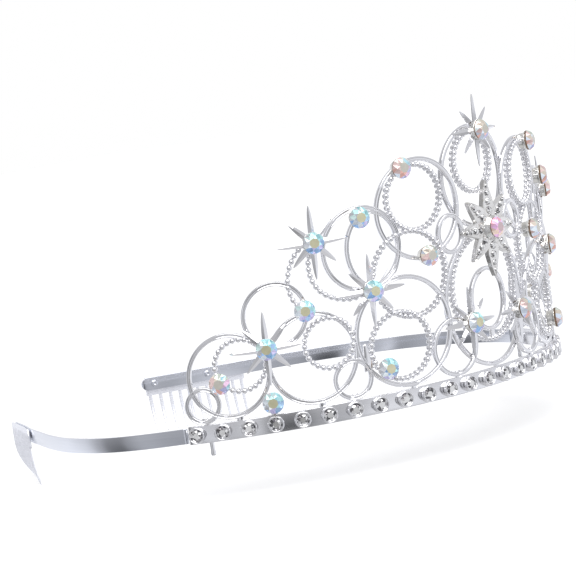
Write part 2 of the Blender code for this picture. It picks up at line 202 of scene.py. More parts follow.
def loft(sections: np.ndarray, closed: bool) -> tuple[np.ndarray, list[np.ndarray]]:
    """Skin through loops of points; open lofts get a fan of triangles on each end.

    Args:
        sections: (loops, points in a loop, 3).
        closed: joins the last loop to the first.

    Returns:
        Points and arrays of faces.
    """
    rows, columns = sections.shape[:2]
    quads = grid_faces(rows, columns, closed, True)
    if closed:
        return sections.reshape(-1, 3), [quads]
    ends = np.stack([sections[0].mean(0), sections[-1].mean(0)])
    j = np.arange(columns)
    k = (j + 1) % columns
    total = rows * columns
    last = total - columns
    first_fan = np.stack([np.full(columns, total), k, j], -1)
    last_fan = np.stack([np.full(columns, total + 1), last + j, last + k], -1)
    return np.concatenate([sections.reshape(-1, 3), ends]), [quads, np.concatenate([first_fan, last_fan])]


def spun(base: np.ndarray, out: np.ndarray, profile: Sequence[tuple[float, float]], sides: int) -> np.ndarray:
    """Loops of a turned shape: each (height, radius) of the profile becomes a circle about the axis.

    Args:
        base: foot of the axis.
        out: direction of the axis.
        profile: heights and radii, metres.
        sides: points in a circle.

    Returns:
        (loops, sides, 3) points.
    """
    across = np.cross(out, (0.0, 0.0, 1.0))
    across /= np.linalg.norm(across)
    up = np.cross(across, out)
    a = TAU * (np.arange(sides) + 0.5) / sides
    circle = np.cos(a)[:, None] * across + np.sin(a)[:, None] * up
    heights = np.array([p[0] for p in profile])
    radii = np.array([p[1] for p in profile])
    return base + heights[:, None, None] * out + radii[:, None, None] * circle[None]


@dataclass(frozen=True)
class Wall:
    """The leaning round wall that the front lies in."""

    radius: float = 75.0 * MM
    lean: float = 0.051
    axis_x: float = 0.0
    axis_y: float = 0.0
    base_z: float = 0.0

    def point(self, s: np.ndarray, h: np.ndarray, off: np.ndarray) -> np.ndarray:
        """Place on the wall: turn about the axis by arc length over radius, then lean forwards with height.

        Args:
            s: arc length from the front, metres, positive to the wearer's right.
            h: height above the band's lower edge.
            off: distance outwards.

        Returns:
            (..., 3) points in the row frame.
        """
        s, h, off = np.broadcast_arrays(np.asarray(s, float), h, off)
        angle = s / self.radius
        reach = self.radius + off
        x = self.axis_x - reach * np.sin(angle)
        y = self.axis_y - reach * np.cos(angle) - self.lean * h
        return np.stack([x, y, self.base_z + h], -1)

    def out(self, s: float) -> np.ndarray:
        """Direction straight out of the wall at an arc length."""
        angle = s / self.radius
        return np.array([-math.sin(angle), -math.cos(angle), 0.0])

    def locate(self, node: str) -> tuple[float, float]:
        """Arc length and height of the middle of a CAD node.

        Args:
            node: the node's name.

        Returns:
            Arc length and height, metres.
        """
        low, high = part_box(node)
        middle = (low + high) / 2
        h = middle.z - self.base_z
        angle = math.atan2(self.axis_x - middle.x, -(middle.y - self.axis_y + self.lean * h))
        return angle * self.radius, h


# ---------------------------------------------------------------- finishes

SURFACE_OUTPUTS = (
    ("Colour", "NodeSocketColor"), ("Roughness", "NodeSocketFloat"), ("Height", "NodeSocketFloat"),
)


def new_group(
    name: str, inputs: Sequence[tuple[str, str, object]]
) -> tuple[bpy.types.NodeTree, bpy.types.Node, bpy.types.Node]:
    """Empty shader node group that puts out a colour, a roughness and a height.

    Args:
        name: group name.
        inputs: name, socket type and default of each input.

    Returns:
        The tree, its input node and its output node.
    """
    tree = bpy.data.node_groups.new(name, "ShaderNodeTree")
    for label, kind, default in inputs:
        socket = tree.interface.new_socket(name=label, in_out="INPUT", socket_type=kind)
        socket.default_value = default
    for label, kind in SURFACE_OUTPUTS:
        tree.interface.new_socket(name=label, in_out="OUTPUT", socket_type=kind)
    return tree, tree.nodes.new("NodeGroupInput"), tree.nodes.new("NodeGroupOutput")


def add_node(
    tree: bpy.types.NodeTree, kind: str, sockets: dict[str | int, object] | None = None, **settings: str
) -> bpy.types.Node:
    """Add a node to a shader tree.

    Args:
        tree: tree to add to.
        kind: type of the node, less its ShaderNode prefix.
        sockets: values of its input sockets.
        settings: its other settings, which come first because they decide what sockets it has.

    Returns:
        The node.
    """
    node = tree.nodes.new(f"ShaderNode{kind}")
    for name, value in settings.items():
        setattr(node, name, value)
    for socket, value in (sockets or {}).items():
        node.inputs[socket].default_value = value
    return node


class CastSkin:
    """Node group for cast and plated metal: faint clouding of the plate, tarnish specks and a lumpy skin."""

    speck_low = 0.52
    speck_high = 0.75

    def __init__(self) -> None:
        """Build the group: one noise picks out the specks, roughens the plate and gives its height."""
        tree, into, out = new_group(
            "cast_skin",
            [
                ("Colour", "NodeSocketColor", (0.9, 0.9, 0.92, 1.0)),
                ("Tarnish", "NodeSocketColor", (0.75, 0.7, 0.6, 1.0)),
                ("Roughness", "NodeSocketFloat", 0.12),
                ("Spread", "NodeSocketFloat", 0.08),
                ("Scale", "NodeSocketFloat", 300.0),
                ("Amount", "NodeSocketFloat", 0.3),
            ],
        )
        place = add_node(tree, "TexCoord")
        noise = add_node(tree, "TexNoise", {"Detail": 3.0})
        specks = add_node(tree, "MapRange", {"From Min": self.speck_low, "From Max": self.speck_high})
        share = add_node(tree, "Math", operation="MULTIPLY")
        mix = add_node(tree, "Mix", data_type="RGBA")
        rough = add_node(tree, "Math", operation="MULTIPLY_ADD")
        link = tree.links.new
        link(place.outputs["Object"], noise.inputs["Vector"])
        link(into.outputs["Scale"], noise.inputs["Scale"])
        link(noise.outputs["Fac"], specks.inputs["Value"])
        link(specks.outputs["Result"], share.inputs[0])
        link(into.outputs["Amount"], share.inputs[1])
        link(share.outputs[0], mix.inputs["Factor"])
        link(into.outputs["Colour"], mix.inputs["A"])
        link(into.outputs["Tarnish"], mix.inputs["B"])
        link(noise.outputs["Fac"], rough.inputs[0])
        link(into.outputs["Spread"], rough.inputs[1])
        link(into.outputs["Roughness"], rough.inputs[2])
        link(mix.outputs["Result"], out.inputs["Colour"])
        link(rough.outputs[0], out.inputs["Roughness"])
        link(noise.outputs["Fac"], out.inputs["Height"])
        self.tree = tree


class Brushing:
    """Node group for brushed strip: fine lines that run level round the strip."""

    grain = (30.0, 30.0, 9000.0)
    cloud_scale = 90.0

    def __init__(self) -> None:
        """Build the group: a noise drawn out into level lines, thinned by a broader one."""
        tree, into, out = new_group(
            "brushing",
            [
                ("Colour", "NodeSocketColor", (0.8, 0.8, 0.82, 1.0)),
                ("Line Colour", "NodeSocketColor", (0.6, 0.6, 0.64, 1.0)),
                ("Roughness", "NodeSocketFloat", 0.2),
                ("Spread", "NodeSocketFloat", 0.1),
            ],
        )
        place = add_node(tree, "TexCoord")
        stretch = add_node(tree, "Mapping", {"Scale": self.grain})
        noise = add_node(tree, "TexNoise", {"Scale": 1.0, "Detail": 4.0})
        cloud = add_node(tree, "TexNoise", {"Scale": self.cloud_scale})
        mix = add_node(tree, "Mix", data_type="RGBA")
        both = add_node(tree, "Math", operation="MULTIPLY")
        rough = add_node(tree, "Math", operation="MULTIPLY_ADD")
        link = tree.links.new
        link(place.outputs["Object"], stretch.inputs["Vector"])
        link(stretch.outputs["Vector"], noise.inputs["Vector"])
        link(place.outputs["Object"], cloud.inputs["Vector"])
        link(noise.outputs["Fac"], both.inputs[0])
        link(cloud.outputs["Fac"], both.inputs[1])
        link(both.outputs[0], mix.inputs["Factor"])
        link(into.outputs["Colour"], mix.inputs["A"])
        link(into.outputs["Line Colour"], mix.inputs["B"])
        link(noise.outputs["Fac"], rough.inputs[0])
        link(into.outputs["Spread"], rough.inputs[1])
        link(into.outputs["Roughness"], rough.inputs[2])
        link(mix.outputs["Result"], out.inputs["Colour"])
        link(rough.outputs[0], out.inputs["Roughness"])
        link(noise.outputs["Fac"], out.inputs["Height"])
        self.tree = tree


def blank_material(name: str) -> tuple[bpy.types.Material, bpy.types.Node]:
    """New node material.

    Args:
        name: its name.

    Returns:
        The material and its Principled shader.
    """
    material = bpy.data.materials.new(name)
    material.use_nodes = True
    return material, material.node_tree.nodes["Principled BSDF"]


@dataclass(frozen=True)
class MetalFinish:
    """A metal whose surface varies through one of the shared groups."""

    name: str
    colour: tuple[float, float, float]
    second: tuple[float, float, float]
    roughness: float
    spread: float
    bump: float
    distance: float = 0.02 * MM
    scale: float = 300.0
    amount: float = 0.3
    metallic: float = 1.0

    def make(self, group: bpy.types.NodeTree) -> bpy.types.Material:
        """Build the material.

        Args:
            group: the cast skin or brushing tree.

        Returns:
            The material.
        """
        material, shader = blank_material(self.name)
        tree = material.node_tree
        node = add_node(tree, "Group")
        node.node_tree = group
        node.inputs[0].default_value = (*self.colour, 1.0)
        node.inputs[1].default_value = (*self.second, 1.0)
        node.inputs["Roughness"].default_value = self.roughness
        node.inputs["Spread"].default_value = self.spread
        if "Scale" in node.inputs:
            node.inputs["Scale"].default_value = self.scale
            node.inputs["Amount"].default_value = self.amount
        bump = add_node(tree, "Bump", {"Strength": self.bump, "Distance": self.distance})
        tree.links.new(node.outputs["Colour"], shader.inputs["Base Color"])
        tree.links.new(node.outputs["Roughness"], shader.inputs["Roughness"])
        tree.links.new(node.outputs["Height"], bump.inputs["Height"])
        tree.links.new(bump.outputs["Normal"], shader.inputs["Normal"])
        shader.inputs["Metallic"].default_value = self.metallic
        return material


@dataclass(frozen=True)
class StoneFinish:
    """Cut stone whose facets carry painted colours: painted reflections and glints by the way each faces,
    laid over the coating's own colours on the coated stones; with faint streaks inside.
    """

    name: str
    metallic: float
    roughness: float
    coat: float
    coat_roughness: float = 0.02
    streak: float = 0.15
    streak_scale: float = 900.0

    def make(self) -> bpy.types.Material:
        """Build the material: the facet's painted colour (painted reflections and glints, over the coating's
        own colour on coated stones), lightened or darkened a little by a noise.

        Returns:
            The material.
        """
        material, shader = blank_material(self.name)
        tree = material.node_tree
        # The facet colours read here are painted reflections and glints, over the coating's own colours on
        # coated stones.
        tint = add_node(tree, "Attribute", attribute_name=FACET_COLOUR_AND_GLINT)
        place = add_node(tree, "TexCoord")
        noise = add_node(tree, "TexNoise", {"Scale": self.streak_scale, "Detail": 2.0})
        level = add_node(tree, "MapRange", {"To Min": 1.0 - self.streak, "To Max": 1.0 + self.streak})
        mix = add_node(tree, "Mix", {"Factor": 1.0}, data_type="RGBA", blend_type="MULTIPLY")
        tree.links.new(place.outputs["Object"], noise.inputs["Vector"])
        tree.links.new(noise.outputs["Fac"], level.inputs["Value"])
        tree.links.new(tint.outputs["Color"], mix.inputs["A"])
        tree.links.new(level.outputs["Result"], mix.inputs["B"])
        tree.links.new(mix.outputs["Result"], shader.inputs["Base Color"])
        shader.inputs["Metallic"].default_value = self.metallic
        shader.inputs["Roughness"].default_value = self.roughness
        shader.inputs["Coat Weight"].default_value = self.coat
        shader.inputs["Coat Roughness"].default_value = self.coat_roughness
        return material


WIRE = MetalFinish("bright_wire", (0.95, 0.95, 0.97), (0.82, 0.80, 0.77), 0.015, 0.05, 0.2)
BEADS = MetalFinish(
    "cast_beads", (0.95, 0.95, 0.97), (0.70, 0.69, 0.70), 0.02, 0.07, 0.3,
    distance=0.03 * MM, scale=900.0, amount=0.5,
)
STAR = MetalFinish("star_casting", (0.94, 0.94, 0.96), (0.84, 0.82, 0.76), 0.03, 0.08, 0.3)
PAVED = MetalFinish(
    "paved_casting", (0.93, 0.92, 0.90), (0.74, 0.71, 0.64), 0.12, 0.12, 0.8,
    distance=0.08 * MM, scale=1100.0, amount=0.7,
)
CUP = MetalFinish("foiled_cup", (0.90, 0.89, 0.85), (0.70, 0.64, 0.50), 0.12, 0.12, 0.4)
BAND = MetalFinish("brushed_band", (0.96, 0.96, 0.97), (0.66, 0.66, 0.71), 0.10, 0.16, 0.35)
STEEL = MetalFinish("spring_steel", (0.86, 0.88, 0.94), (0.62, 0.65, 0.72), 0.10, 0.14, 0.25)
COMB = MetalFinish("pale_comb", (0.93, 0.94, 1.0), (0.84, 0.86, 0.93), 0.20, 0.12, 0.2, metallic=0.45)
COATED = StoneFinish("coated_stone", metallic=0.40, roughness=0.08, coat=0.5)
CLEAR_STONE = StoneFinish("clear_stone", metallic=0.75, roughness=0.06, coat=0.6)


class Finishes:
    """Every material of the tiara."""

    def __init__(self) -> None:
        """Build the shared groups, then the materials."""
        skin = CastSkin().tree
        lines = Brushing().tree
        self.wire = WIRE.make(skin)
        self.bead = BEADS.make(skin)
        self.star = STAR.make(skin)
        self.pave = PAVED.make(skin)
        self.cup = CUP.make(skin)
        self.band = BAND.make(lines)
        self.steel = STEEL.make(lines)
        self.comb = COMB.make(lines)
        self.coated = COATED.make()
        self.clear = CLEAR_STONE.make()


# ---------------------------------------------------------------- stones


class Facet(IntEnum):
    """Kinds of facet."""

    TABLE = 0
    STAR = 1
    GIRDLE = 2
    KITE = 3
    WALL = 4


@dataclass(frozen=True)
class Palette:
    """Colours of a stone's facets by kind of facet and by the way it faces round the stone; these are painted
    reflections and glints, laid over the coating's own rainbow colours on the coated stones.

    The anchors are colours at equal steps round the stone, from the right, going up. The jitter says how far
    single facets stray, 0 to 1, and the slip how many steps they may be out of place.
    """

    table: tuple[float, float, float]
    side: tuple[float, float, float]
    anchors: tuple[tuple[float, float, float], ...]
    jitter: float
    slip: float = 1.1

    def colours(self, kinds: np.ndarray, angles: np.ndarray, seed: int) -> np.ndarray:
        """One colour a facet: the nearest anchor round the stone, lightened or darkened a little by chance.

        Args:
            kinds: the Facet of each.
            angles: direction each facet faces round the axis.
            seed: start of the chance numbers.

        Returns:
            (facets, 3) colours.
        """
        chance = np.random.default_rng(seed)
        count = len(self.anchors)
        stray = chance.uniform(-self.slip, self.slip, len(angles))
        step = np.floor((angles / TAU) * count + stray).astype(int) % count
        colour = np.array(self.anchors)[step]
        colour = colour * (1.0 + self.jitter * chance.uniform(-1.0, 1.0, (len(angles), 1)))
        colour = np.where((kinds == Facet.TABLE)[:, None], self.table, colour)
        colour = np.where((kinds == Facet.WALL)[:, None], self.side, colour)
        return np.clip(colour, 0.0, 1.0)


FOIL = (0.20, 0.13, 0.08)
# Coated stones: partly the coating's own rainbow colours, partly painted reflections, each facet coloured by
# the way it faces.
AURORA = Palette(
    table=(0.60, 0.58, 0.40),
    side=FOIL,
    anchors=(
        (0.60, 0.62, 0.66),
        (0.60, 0.78, 0.76),
        (0.40, 0.76, 0.82),
        (0.50, 0.86, 0.90),
        (0.40, 0.60, 0.88),
        (0.60, 0.56, 0.86),
        (0.32, 0.52, 0.84),
        (0.78, 0.85, 0.92),
    ),
    jitter=0.25,
)
SUNSET = Palette(
    table=(0.56, 0.54, 0.48),
    side=FOIL,
    anchors=(
        (0.74, 0.56, 0.54),
        (0.76, 0.68, 0.58),
        (0.70, 0.76, 0.68),
        (0.45, 0.72, 0.82),
        (0.80, 0.56, 0.74),
        (0.56, 0.58, 0.88),
        (0.78, 0.46, 0.40),
        (0.72, 0.80, 0.92),
    ),
    jitter=0.25,
)
ROSE = Palette(
    table=(0.60, 0.46, 0.48),
    side=FOIL,
    anchors=(
        (0.95, 0.55, 0.72),
        (0.96, 0.42, 0.52),
        (0.80, 0.62, 0.95),
        (0.62, 0.85, 0.95),
        (0.90, 0.75, 0.85),
        (0.96, 0.50, 0.36),
        (0.95, 0.72, 0.62),
        (0.90, 0.55, 0.85),
    ),
    jitter=0.22,
)
# Clear stones: the near-white and near-black facets are painted glints and painted dark reflections; the
# stone itself is colourless.
CLEAR = Palette(
    table=(0.80, 0.80, 0.79),
    side=(0.60, 0.60, 0.60),
    anchors=(
        (0.95, 0.95, 0.95),
        (0.20, 0.19, 0.20),
        (0.80, 0.80, 0.80),
        (0.10, 0.10, 0.11),
        (0.92, 0.92, 0.92),
        (0.45, 0.44, 0.45),
        (0.98, 0.98, 0.98),
        (0.16, 0.16, 0.17),
    ),
    jitter=0.3,
)


@dataclass(frozen=True)
class Brilliant:
    """A cut stone: table, eight star facets, eight kites, sixteen girdle facets, wall and flat back.

    Each ring of corners is a circle at its own height, given as a share of the radius and a share of the
    height. The middle ring stands half a step round from the table.
    """

    radius: float
    height: float
    table: tuple[float, float] = (0.47, 1.0)
    middle: tuple[float, float] = (0.72, 0.86)
    girdle: tuple[float, float] = (1.0, 0.30)
    foot: tuple[float, float] = (0.96, 0.0)

    def cut(
        self, shell: Shell, base: np.ndarray, out: np.ndarray, turn: float, palette: Palette, seed: int
    ) -> None:
        """Add one stone.

        Args:
            shell: mesh to add to.
            base: middle of the flat back.
            out: direction the table faces.
            turn: rotation about the axis, radians.
            palette: gives the facet colours.
            seed: picks this stone's variation.
        """
        across = np.cross(out, (0.0, 0.0, 1.0))
        across /= np.linalg.norm(across)
        up = np.cross(across, out)

        def circle(count: int, ring: tuple[float, float], phase: float) -> np.ndarray:
            """Corners of one ring, turned on by a share of a step."""
            a = turn + TAU * (np.arange(count) + phase) / count
            flat = np.cos(a)[:, None] * across + np.sin(a)[:, None] * up
            return base + out * self.height * ring[1] + self.radius * ring[0] * flat

        rings = [circle(8, self.table, 0.0), circle(8, self.middle, 0.5), circle(16, self.girdle, 0.0)]
        ends = np.stack([base + out * self.height, base])
        points = np.concatenate([*rings, circle(16, self.foot, 0.0), ends])
        middle, girdle, foot, peak = 8, 16, 32, 48
        i = np.arange(8)
        k = (i + 1) % 8
        j = np.arange(16)
        n = (j + 1) % 16
        top = np.stack([np.full(8, peak), i, k], -1)
        stars = np.stack([i, middle + i, k], -1)
        kites = np.stack([i, middle + (i - 1) % 8, girdle + 2 * i, middle + i], -1)
        left = np.stack([middle + i, girdle + 2 * i, girdle + 2 * i + 1], -1)
        right = np.stack([middle + i, girdle + 2 * i + 1, girdle + (2 * i + 2) % 16], -1)
        wall = np.stack([girdle + j, foot + j, foot + n, girdle + n], -1)
        back = np.stack([np.full(16, peak + 1), foot + n, foot + j], -1)
        kinds = np.repeat([Facet.TABLE, Facet.STAR, Facet.GIRDLE, Facet.WALL], [8, 8, 16, 16])
        level = np.zeros(16)
        middles = [TAU * (i + step) / 8 for step in (0.5, 0.25, 0.75)]
        angles = np.concatenate([level[:8], *middles, level])
        triangle_tints = palette.colours(kinds, angles + turn, seed)
        kinds = np.repeat([Facet.KITE, Facet.WALL], [8, 16])
        quad_tints = palette.colours(kinds, np.concatenate([TAU * i / 8, level]) + turn, seed + 7)
        triangles = np.concatenate([top, stars, left, right, back])
        shell.add(points, [triangles, np.concatenate([kites, wall])], [triangle_tints, quad_tints])


# ---------------------------------------------------------------- front


def ride(item: bpy.types.Object, body: str, slot: Slot, *nodes: str) -> None:
    """Hang a piece on a CAD body in place of CAD nodes.

    Args:
        item: the finished piece.
        body: name of the body.
        slot: the record's material slot; not used.
        nodes: CAD nodes the piece stands for.
    """
    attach(item, body)
    if nodes:
        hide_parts(*nodes)


def smooth_path(knots: Sequence[tuple[float, float]], steps: int) -> np.ndarray:
    """Even points on the cubic that passes through the knots, each slope taken from its neighbours.

    Args:
        knots: arc length and height, millimetres.
        steps: number of points.

    Returns:
        (steps, 2) metres.
    """
    p = np.array(knots) * MM
    padded = np.concatenate([[2 * p[0] - p[1]], p, [2 * p[-1] - p[-2]]])
    t = np.linspace(0, len(p) - 1 - 1e-9, SPLINE_STEPS)
    i = t.astype(int)
    u = (t - i)[:, None]
    a, b, c, d = (padded[i + k] for k in range(4))
    curve = 0.5 * (2 * b + (c - a) * u + (2 * a - 5 * b + 4 * c - d) * u**2 + (3 * b - 3 * c + d - a) * u**3)
    run = np.concatenate([[0], np.cumsum(np.linalg.norm(np.diff(curve, axis=0), axis=1))])
    even = np.linspace(0, run[-1], steps)
    return np.stack([np.interp(even, run, curve[:, 0]), np.interp(even, run, curve[:, 1])], -1)


def square_off(wave: np.ndarray) -> np.ndarray:
    """Cosine or sine raised to less than its first power, which turns a circle into a rounded square."""
    return np.sign(wave) * np.abs(wave) ** SQUARENESS


@dataclass
class WallWork:
    """Wires, beads, tabs and cups that lie in the wall.

    Profiles are offsets and radii in millimetres. The groove is a share of the wire's depth, and its width a
    share of the wire's radius.
    """

    wall: Wall
    wire: float = 0.60 * MM
    wire_depth: float = 0.72 * MM
    core: float = 0.28 * MM
    groove: float = 0.40
    groove_width: float = 0.66
    core_lag: float = 0.1 * MM
    ring_steps: int = 96
    ring_sides: int = 28
    run_steps: int = 48
    run_sides: int = 10
    bead_sides: int = 8
    cup_sides: int = 32
    plate_levels: tuple = ((-0.42, 0.85), (-0.32, 1.0), (0.32, 1.0), (0.42, 0.85))
    bead_pitch: float = 1.48 * MM
    bead_profile: tuple = (
        (-1.25, 0.02), (-1.14, 0.40), (-0.80, 0.68), (-0.38, 0.58), (-0.12, 0.38),
        (0.12, 0.62), (0.50, 0.74), (0.90, 0.50), (1.10, 0.02),
    )
    cup_profile: tuple = (
        (-0.35, 1.2), (-0.3, 1.9), (0.2, 2.05), (1.0, 2.10), (1.45, 2.30),
        (1.70, 2.52), (1.90, 2.56), (1.98, 2.45), (2.0, 2.20),
    )

    def ring(
        self, shell: Shell, spec: Sequence[float], side: int, layer: float, radius: float, depth: float
    ) -> None:
        """Add a ring of wire: a rounded square section, grooved in front, carried round an oval in the wall.

        Args:
            shell: mesh to add to.
            spec: arc length, height, half width and half height, millimetres.
            side: sign of the arc length.
            layer: offset of the wire's middle.
            radius: half thickness in the wall.
            depth: half thickness through the wall.
        """
        s, h, wide, tall = (value * MM for value in spec)
        a = TAU * np.arange(self.ring_steps)[:, None] / self.ring_steps
        b = TAU * (np.arange(self.ring_sides)[None, :] + 0.5) / self.ring_sides
        share = square_off(np.cos(b))
        reach = radius * share
        channel = np.clip(1.0 - (share / self.groove_width) ** 2, 0, 1) ** 1.5
        dip = np.where(np.sin(b) > 0, channel, 0.0)
        rise = depth * (square_off(np.sin(b)) - self.groove * dip)
        ps = side * (s + (wide + reach) * np.cos(a))
        ph = h + (tall + reach) * np.sin(a)
        shell.add(*loft(self.wall.point(ps, ph, layer + rise), True))

    def run(self, shell: Shell, path: np.ndarray, side: int, layer: float, radius: float) -> None:
        """Add a wire along an open path: a circle at each point, square to the path.

        Args:
            shell: mesh to add to.
            path: arc lengths and heights.
            side: sign of the arc length.
            layer: offset of the wire's middle.
            radius: the wire's radius.
        """
        along = np.gradient(path, axis=0)
        along /= np.linalg.norm(along, axis=1)[:, None]
        across = np.stack([-along[:, 1], along[:, 0]], -1)
        b = TAU * np.arange(self.run_sides) / self.run_sides
        flat = path[:, None] + across[:, None] * (radius * np.cos(b))[None, :, None]
        points = self.wall.point(side * flat[..., 0], flat[..., 1], layer + radius * np.sin(b)[None])
        shell.add(*loft(points, False))

    def beads(self, shell: Shell, path: np.ndarray, side: int, layer: float) -> None:
        """Add a bead at each point: two lobes, one behind the other, turned about the wall's outward line.

        Args:
            shell: mesh to add to.
            path: arc lengths and heights.
            side: sign of the arc length.
            layer: offset of the string's middle.
        """
        s, h = side * path[:, 0], path[:, 1]
        base = self.wall.point(s, h, layer)
        angle = s / self.wall.radius
        out = np.stack([-np.sin(angle), -np.cos(angle), 0 * angle], -1)
        across = np.stack([-np.cos(angle), np.sin(angle), 0 * angle], -1)
        up = np.array([0.0, 0.0, 1.0])
        sides = self.bead_sides
        a = TAU * np.arange(sides) / sides
        profile = np.array(self.bead_profile) * MM
        circle = np.cos(a)[None, :, None] * across[:, None] + np.sin(a)[None, :, None] * up
        rows = len(profile) - 2
        middle = profile[1:-1]
        points = (
            base[:, None, None]
            + middle[None, :, None, :1] * out[:, None, None]
            + middle[None, :, None, 1:] * circle[:, None]
        )
        count = len(path)
        poles = base[:, None] + profile[[0, -1], 0][None, :, None] * out[:, None]
        quads = grid_faces(rows, sides, False, True, count)
        j = np.arange(sides)
        k = (j + 1) % sides
        start = (np.arange(count) * rows * sides)[:, None]
        pole = (count * rows * sides + 2 * np.arange(count))[:, None]
        last = start + (rows - 1) * sides
        near = np.stack([np.broadcast_to(pole, (count, sides)), start + k, start + j], -1)
        far = np.stack([np.broadcast_to(pole + 1, (count, sides)), last + j, last + k], -1)
        flat = np.concatenate([points.reshape(-1, 3), poles.reshape(-1, 3)])
        shell.add(flat, [quads, np.concatenate([near, far]).reshape(-1, 3)])

    def beaded_ring(self, shell: Shell, spec: Sequence[float], side: int, layer: float) -> None:
        """Add a thin ring strung with beads.

        Args:
            shell: mesh to add to.
            spec: arc length, height, half width and half height, millimetres.
            side: sign of the arc length.
            layer: offset of the string's middle.
        """
        self.ring(shell, spec, side, layer - self.core_lag, self.core, self.core)
        s, h, wide, tall = (value * MM for value in spec)
        count = round(TAU * (wide + tall) / 2 / self.bead_pitch)
        a = TAU * np.arange(count) / count
        self.beads(shell, np.stack([s + wide * np.cos(a), h + tall * np.sin(a)], -1), side, layer)

    def beaded_arc(
        self, shell: Shell, knots: Sequence[tuple[float, float]], side: int, layer: float
    ) -> None:
        """Add a thin arc strung with beads.

        Args:
            shell: mesh to add to.
            knots: arc lengths and heights that the arc passes through, millimetres.
            side: sign of the arc length.
            layer: offset of the string's middle.
        """
        self.run(shell, smooth_path(knots, self.run_steps), side, layer - self.core_lag, self.core)
        curve = smooth_path(knots, SPLINE_STEPS // 2)
        length = np.linalg.norm(np.diff(curve, axis=0), axis=1).sum()
        self.beads(shell, smooth_path(knots, round(length / self.bead_pitch)), side, layer)

    def plate(self, shell: Shell, corners: Sequence[tuple[float, float]], side: int, layer: float) -> None:
        """Add a small flat plate of the wall, its edges drawn in a little at front and back.

        Args:
            shell: mesh to add to.
            corners: arc lengths and heights in order, millimetres.
            side: sign of the arc length.
            layer: offset of the plate's middle.
        """
        p = np.array(corners) * MM
        middle = p.mean(0)
        loops = []
        for off, share in self.plate_levels:
            q = middle + (p - middle) * share
            loops.append(self.wall.point(side * q[:, 0], q[:, 1], layer + off * MM))
        shell.add(*loft(np.array(loops), False))

    def cup(self, shell: Shell, s: float, h: float, profile: Sequence[tuple[float, float]]) -> None:
        """Add a turned cup standing out of the wall.

        Args:
            shell: mesh to add to.
            s: arc length.
            h: height.
            profile: heights and radii, millimetres.
        """
        scaled = [(z * MM, r * MM) for z, r in profile]
        foot = self.wall.point(np.array(s), h, 0.0)
        shell.add(*loft(spun(foot, self.wall.out(s), scaled, self.cup_sides), False))


@dataclass
class SideCasting:
    """One side's casting of rings, arcs, web, tabs and stone cups.

    Rings are arc length, height, half width and half height in millimetres. Arcs, web and tabs are arc
    lengths and heights. The warm cups hold the rosier stones, and so do all of the left side's.
    """

    work: WallWork
    hand: Hand
    plain: tuple = (
        (83.5, 9.2, 4.1, 4.1),
        (76.2, 15.7, 10.1, 10.1),
        (63.0, 28.7, 7.8, 7.8),
        (54.9, 16.8, 11.0, 11.0),
        (45.5, 9.7, 4.6, 4.6),
        (39.2, 41.1, 10.1, 10.1),
        (36.3, 40.5, 6.9, 9.2),
        (22.0, 48.2, 12.3, 12.3),
        (30.0, 18.9, 13.4, 13.4),
        (15.6, 12.1, 6.9, 6.9),
        (13.0, 40.3, 4.0, 4.6),
    )
    beaded: tuple = (
        (73.0, 17.9, 6.4, 6.4),
        (50.5, 19.7, 6.2, 6.2),
        (31.7, 15.6, 8.3, 8.3),
        (23.1, 51.2, 8.1, 8.1),
        (26.6, 32.6, 10.6, 10.6),
    )
    arcs: tuple = (
        ((52.3, 45.0), (54.9, 43.8), (56.8, 41.8), (58.3, 38.8), (58.9, 35.0), (57.9, 31.2), (56.0, 29.2)),
        ((52.3, 43.0), (53.3, 39.6), (52.8, 35.4), (50.4, 31.9), (46.5, 29.9), (42.6, 29.5), (39.4, 30.5)),
    )
    web: tuple = ((39.8, 11.5), (42.4, 10.8), (42.0, 17.6), (41.2, 17.8))
    tabs: tuple = (83.5, 74.6, 66.0, 54.0, 45.6, 29.6, 16.0)
    tab_low: float = 4.3
    tab_high: float = 6.1
    tab_half: float = 0.85
    tab_taper: float = 0.8
    cups: tuple = (
        "side_low", "band_edge", "side_high", "wing_low", "wing_top", "wing_inner", "wing_shoulder",
    )
    warm: tuple = ("side_low", "wing_top", "wing_inner")
    stone: Brilliant = Brilliant(2.68 * MM, 1.90 * MM)
    stone_seat: float = 1.85 * MM
    stone_turn: float = 0.3

    def build(self, finishes: Finishes) -> None:
        """Build the casting and its stones, and hang them on the front.

        Args:
            finishes: the materials.
        """
        side = self.hand.value
        node = f"{self.hand.word}_filigree"
        wires = Shell()
        for spec in self.plain:
            self.work.ring(wires, spec, side, 0.0, self.work.wire, self.work.wire_depth)
        self.work.plate(wires, self.web, side, 0.0)
        for s in self.tabs:
            low, high, half = self.tab_low, self.tab_high, self.tab_half
            narrow = self.tab_taper * half
            corners = ((s - half, low), (s + half, low), (s + narrow, high), (s - narrow, high))
            self.work.plate(wires, corners, side, 0.0)
        ride(wires.build(f"{node}_wires", finishes.wire), "front", Slot.SILVER, node)
        beads = Shell()
        for spec in self.beaded:
            self.work.beaded_ring(beads, spec, side, 0.0)
        for knots in self.arcs:
            self.work.beaded_arc(beads, knots, side, 0.0)
        ride(beads.build(f"{node}_beads", finishes.bead), "front", Slot.SILVER, node)
        cups = Shell()
        for k, label in enumerate(self.cups):
            node_of_stone = f"stone_{label}_{self.hand.word}"
            s, h = self.work.wall.locate(node_of_stone)
            self.work.cup(cups, s, h, self.work.cup_profile)
            cut = Shell()
            foot = self.work.wall.point(np.array(s), h, self.stone_seat)
            out = self.work.wall.out(s)
            palette = SUNSET if label in self.warm or self.hand is Hand.LEFT else AURORA
            self.stone.cut(cut, foot, out, self.stone_turn * k, palette, 11 * k + side + 1)
            gem = cut.build(f"{node_of_stone}_cut", finishes.coated, False, True)
            ride(gem, "front", Slot.CRYSTAL, node_of_stone)
        ride(cups.build(f"{node}_cups", finishes.cup), "front", Slot.SILVER, node)


